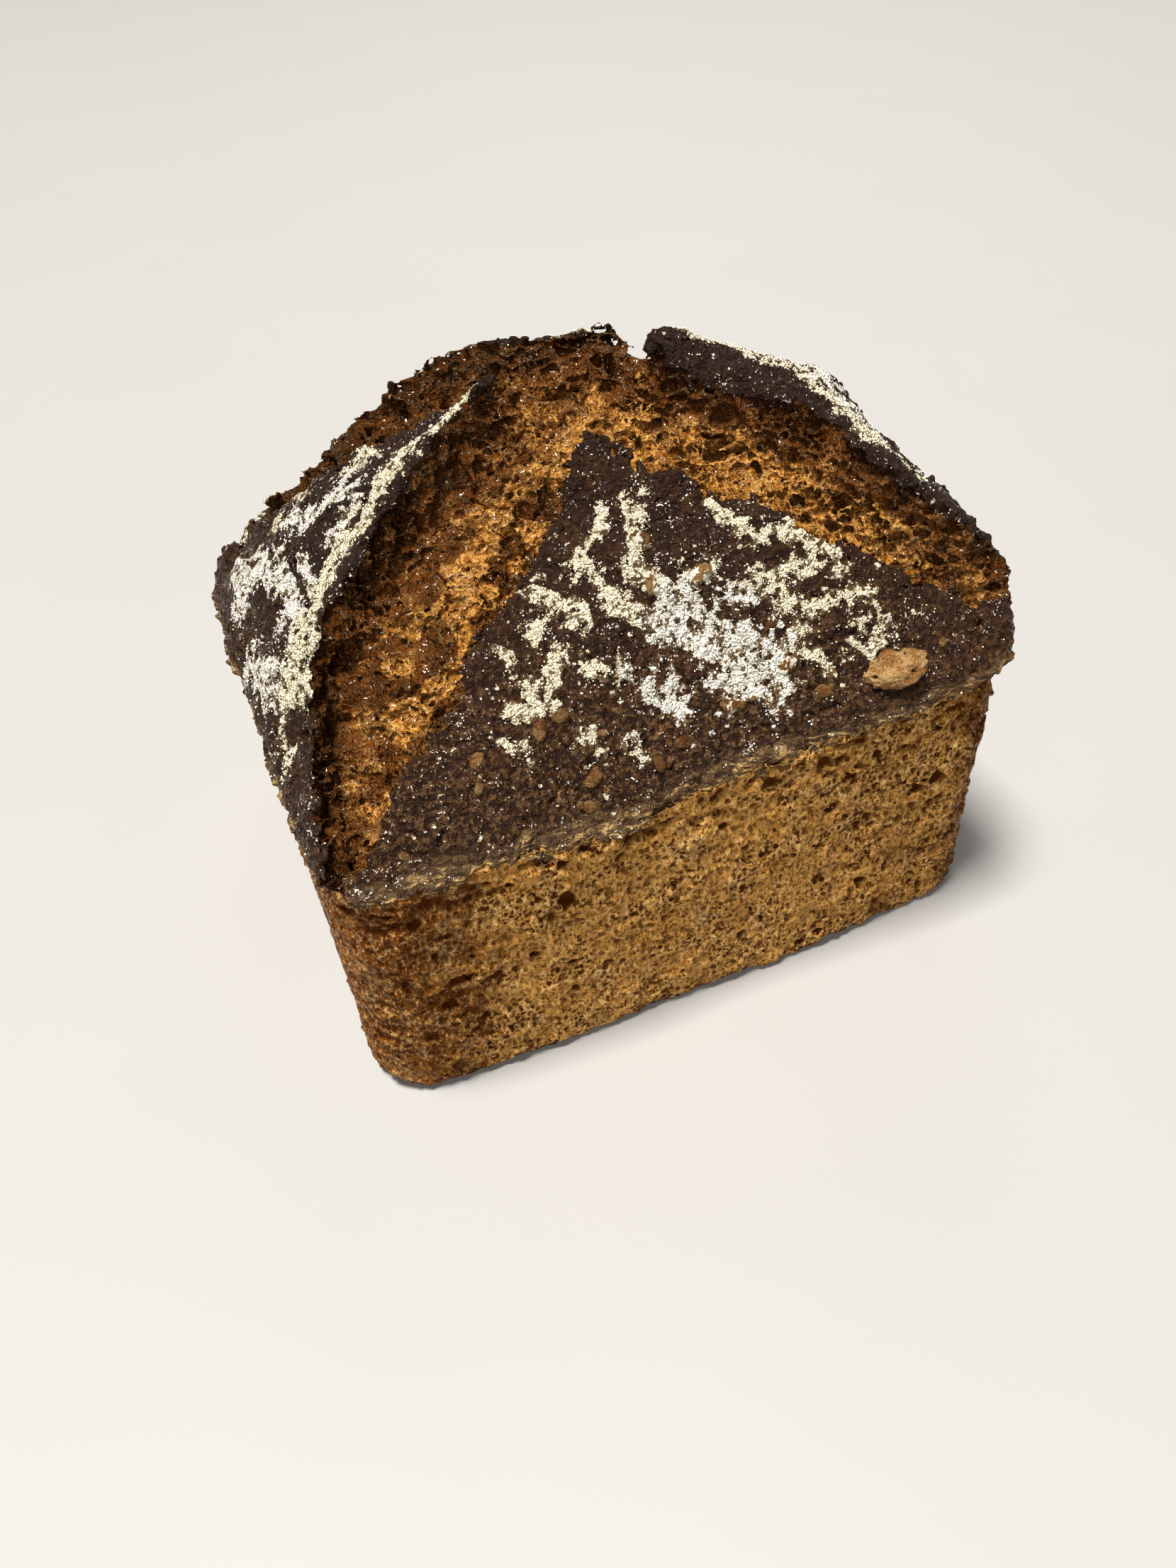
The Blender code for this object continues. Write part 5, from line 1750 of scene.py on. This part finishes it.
class LOAF_OT_grains(bpy.types.Operator):
    """Bake the nut piece and the grains into the crust"""

    bl_idname = "loaf.grains"
    bl_label = "Grains"

    def execute(self, context):
        draws = np.random.default_rng(GRAIN_DRAWS_SEED)
        placed = KERNELS + small_grain_places(context.scene.loaf_sizes.small_grains, draws)
        parts = []
        count = 0
        for number, grain in enumerate(placed):
            points, triangles, crease = laid_grain(number, *grain)
            tint = np.full(len(points), draws.uniform(*GRAIN_TINTS) if number else 0.0)
            parts.append((points, triangles + count, crease, tint))
            count += len(points)
        points, triangles, crease, tint = [np.concatenate(values) for values in zip(*parts)]
        x, y, z = points.T.astype(np.float32)
        off_nut = np.hypot(x - KERNELS[0][0], y - KERNELS[0][1]) > NUT_CLEARANCE
        flour = flour_cover(stroke_field(x, y), x, y, z) * off_nut * GRAIN_FLOURED
        add_piece("grains", points, triangles, {"crease": crease, "tint": tint, "flour": flour},
                  grain_material(context.scene.loaf_colours))
        return {"FINISHED"}


class LOAF_OT_flour(bpy.types.Operator):
    """Scatter loose flour granules over the floured crust"""

    bl_idname = "loaf.flour"
    bl_label = "Loose Flour"

    def execute(self, context):
        sizes = context.scene.loaf_sizes
        surface = crown_parts(sizes)[0]
        draws = np.random.default_rng(FLOUR_DRAWS_SEED)
        weight = is_crust(surface) * (BARE_CRUST_WEIGHT + face_mean(surface, surface.layers["flour"]))
        chosen = draws.choice(len(weight), sizes.granules, p=weight / weight.sum())
        middles = face_middles(surface)[chosen]
        middles += draws.uniform(*GRANULE_SHIFT, middles.shape)
        width = sizes.granule / MM * draws.uniform(*GRANULE_WIDTH, (len(chosen), 1, 1))
        corners = len(GRANULE_POINTS)
        jitter = draws.uniform(*GRANULE_JITTER, (len(chosen), corners, 3))
        points = middles[:, None, :] + GRANULE_POINTS[None] * width / 2.0 * jitter
        faces = GRANULE_FACES[None] + corners * np.arange(len(chosen))[:, None, None]
        white = face_mean(surface, surface.layers["white"])[chosen].repeat(corners)
        add_piece("flour_granules", points.reshape(-1, 3), faces.reshape(-1, 3), {"white": white},
                  flour_material(context.scene.loaf_colours))
        return {"FINISHED"}


# ---------------------------------------------------------------- stage

# Soft lights: name, power setting, place, width and colour.
LIGHTS = [("key_light", "key_power", (-1.2, -0.15, 5.95), 1.5, (1.0, 0.97, 0.92)),
          ("front_light", "fill_power", (-1.8, -3.8, 2.8), 2.4, (1.0, 0.98, 0.95)),
          ("back_light", "back_power", (1.8, 3.4, 2.6), 2.4, (1.0, 0.98, 0.95))]
SKY_COLOUR = (0.95, 0.97, 1.0, 1.0)
FLOOR_HALF = 4.5
FRAME_WIDTH = 36.0
NEAREST_SEEN = 0.01


def add_object(name, data):
    """Link a new object of the stage to the scene."""
    item = bpy.data.objects.new(name, data)
    bpy.context.collection.objects.link(item)
    return item


def area_light(name, power, place, width, colour):
    """Soft square light that faces the loaf."""
    lamp = bpy.data.lights.new(name, "AREA")
    lamp.energy = power
    lamp.size = width
    lamp.color = colour
    light = add_object(name, lamp)
    light.location = place
    light.rotation_euler = Vector(place).to_track_quat("Z", "Y").to_euler()


def add_camera(stage):
    """Camera at the photograph's viewing angle."""
    data = bpy.data.cameras.new("camera")
    data.lens = stage.lens
    data.sensor_width = FRAME_WIDTH
    data.clip_start = NEAREST_SEEN
    back = Vector((math.sin(stage.azimuth) * math.cos(stage.elevation),
                   -math.cos(stage.azimuth) * math.cos(stage.elevation),
                   math.sin(stage.elevation)))
    level = Vector((0, 0, 1)).cross(back).normalized()
    upright = back.cross(level)
    right = math.cos(stage.roll) * level + math.sin(stage.roll) * upright
    up = math.cos(stage.roll) * upright - math.sin(stage.roll) * level
    turned = Matrix((right, up, back)).transposed().to_4x4()
    camera = add_object("camera", data)
    camera.matrix_world = Matrix.Translation(Vector(stage.aim) + back * stage.distance) @ turned
    bpy.context.scene.camera = camera


def add_sky(stage):
    """Soft light from all round, with a brighter backdrop that only the camera sees."""
    world = bpy.data.worlds.new("soft_sky")
    world.use_nodes = True
    nodes = Nodes(world.node_tree)
    seen = nodes.add("ShaderNodeLightPath", {})["Is Camera Ray"]
    strength = nodes.math("MULTIPLY_ADD", seen, stage.backdrop, stage.sky)
    nodes.feed(world.node_tree.nodes["Background"], {"Color": SKY_COLOUR, "Strength": strength})
    bpy.context.scene.world = world


class LOAF_OT_stage(bpy.types.Operator):
    """Set the floor, lights and camera"""

    bl_idname = "loaf.stage"
    bl_label = "Stage"

    def execute(self, context):
        stage = context.scene.loaf_stage
        corners = [(x * FLOOR_HALF, y * FLOOR_HALF, 0.0) for x, y in ((-1, -1), (1, -1), (1, 1), (-1, 1))]
        mesh = bpy.data.meshes.new("floor")
        mesh.from_pydata(corners, [], [(0, 1, 2, 3)])
        mesh.materials.append(floor_material(context.scene.loaf_colours))
        floor = add_object("floor", mesh)
        for name, power, place, width, colour in LIGHTS:
            area_light(name, getattr(stage, power), place, width, colour)
        add_sky(stage)
        context.scene.view_settings.view_transform = "Standard"
        add_camera(stage)
        return {"FINISHED"}


OPERATORS = (LOAF_OT_crust, LOAF_OT_crumb, LOAF_OT_sides, LOAF_OT_grains, LOAF_OT_flour,
             LOAF_OT_stage)


class LOAF_PT_panel(bpy.types.Panel):
    """Sizes, colours and pieces of the loaf"""

    bl_label = "Spelt Bread Loaf"
    bl_idname = "LOAF_PT_panel"
    bl_space_type = "VIEW_3D"
    bl_region_type = "UI"
    bl_category = "Loaf"

    def draw(self, context):
        for settings in (context.scene.loaf_sizes, context.scene.loaf_colours, context.scene.loaf_stage):
            box = self.layout.box()
            for name in settings.__annotations__:
                box.prop(settings, name)
        for operator in OPERATORS:
            self.layout.operator(operator.bl_idname)


CLASSES = (LoafSizes, LoafColours, LoafStage, *OPERATORS, LOAF_PT_panel)


def register():
    """Register the classes and hang the settings on the scene."""
    for item in CLASSES:
        bpy.utils.register_class(item)
    bpy.types.Scene.loaf_sizes = PointerProperty(type=LoafSizes)
    bpy.types.Scene.loaf_colours = PointerProperty(type=LoafColours)
    bpy.types.Scene.loaf_stage = PointerProperty(type=LoafStage)


def unregister():
    """Take the settings and classes away again."""
    del bpy.types.Scene.loaf_stage
    del bpy.types.Scene.loaf_colours
    del bpy.types.Scene.loaf_sizes
    for item in reversed(CLASSES):
        bpy.utils.unregister_class(item)


def main():
    """Make the whole loaf and its stage."""
    register()
    bpy.ops.loaf.crust()
    bpy.ops.loaf.crumb()
    bpy.ops.loaf.sides()
    bpy.ops.loaf.grains()
    bpy.ops.loaf.flour()
    bpy.ops.loaf.stage()


if __name__ == "__main__":
    main()
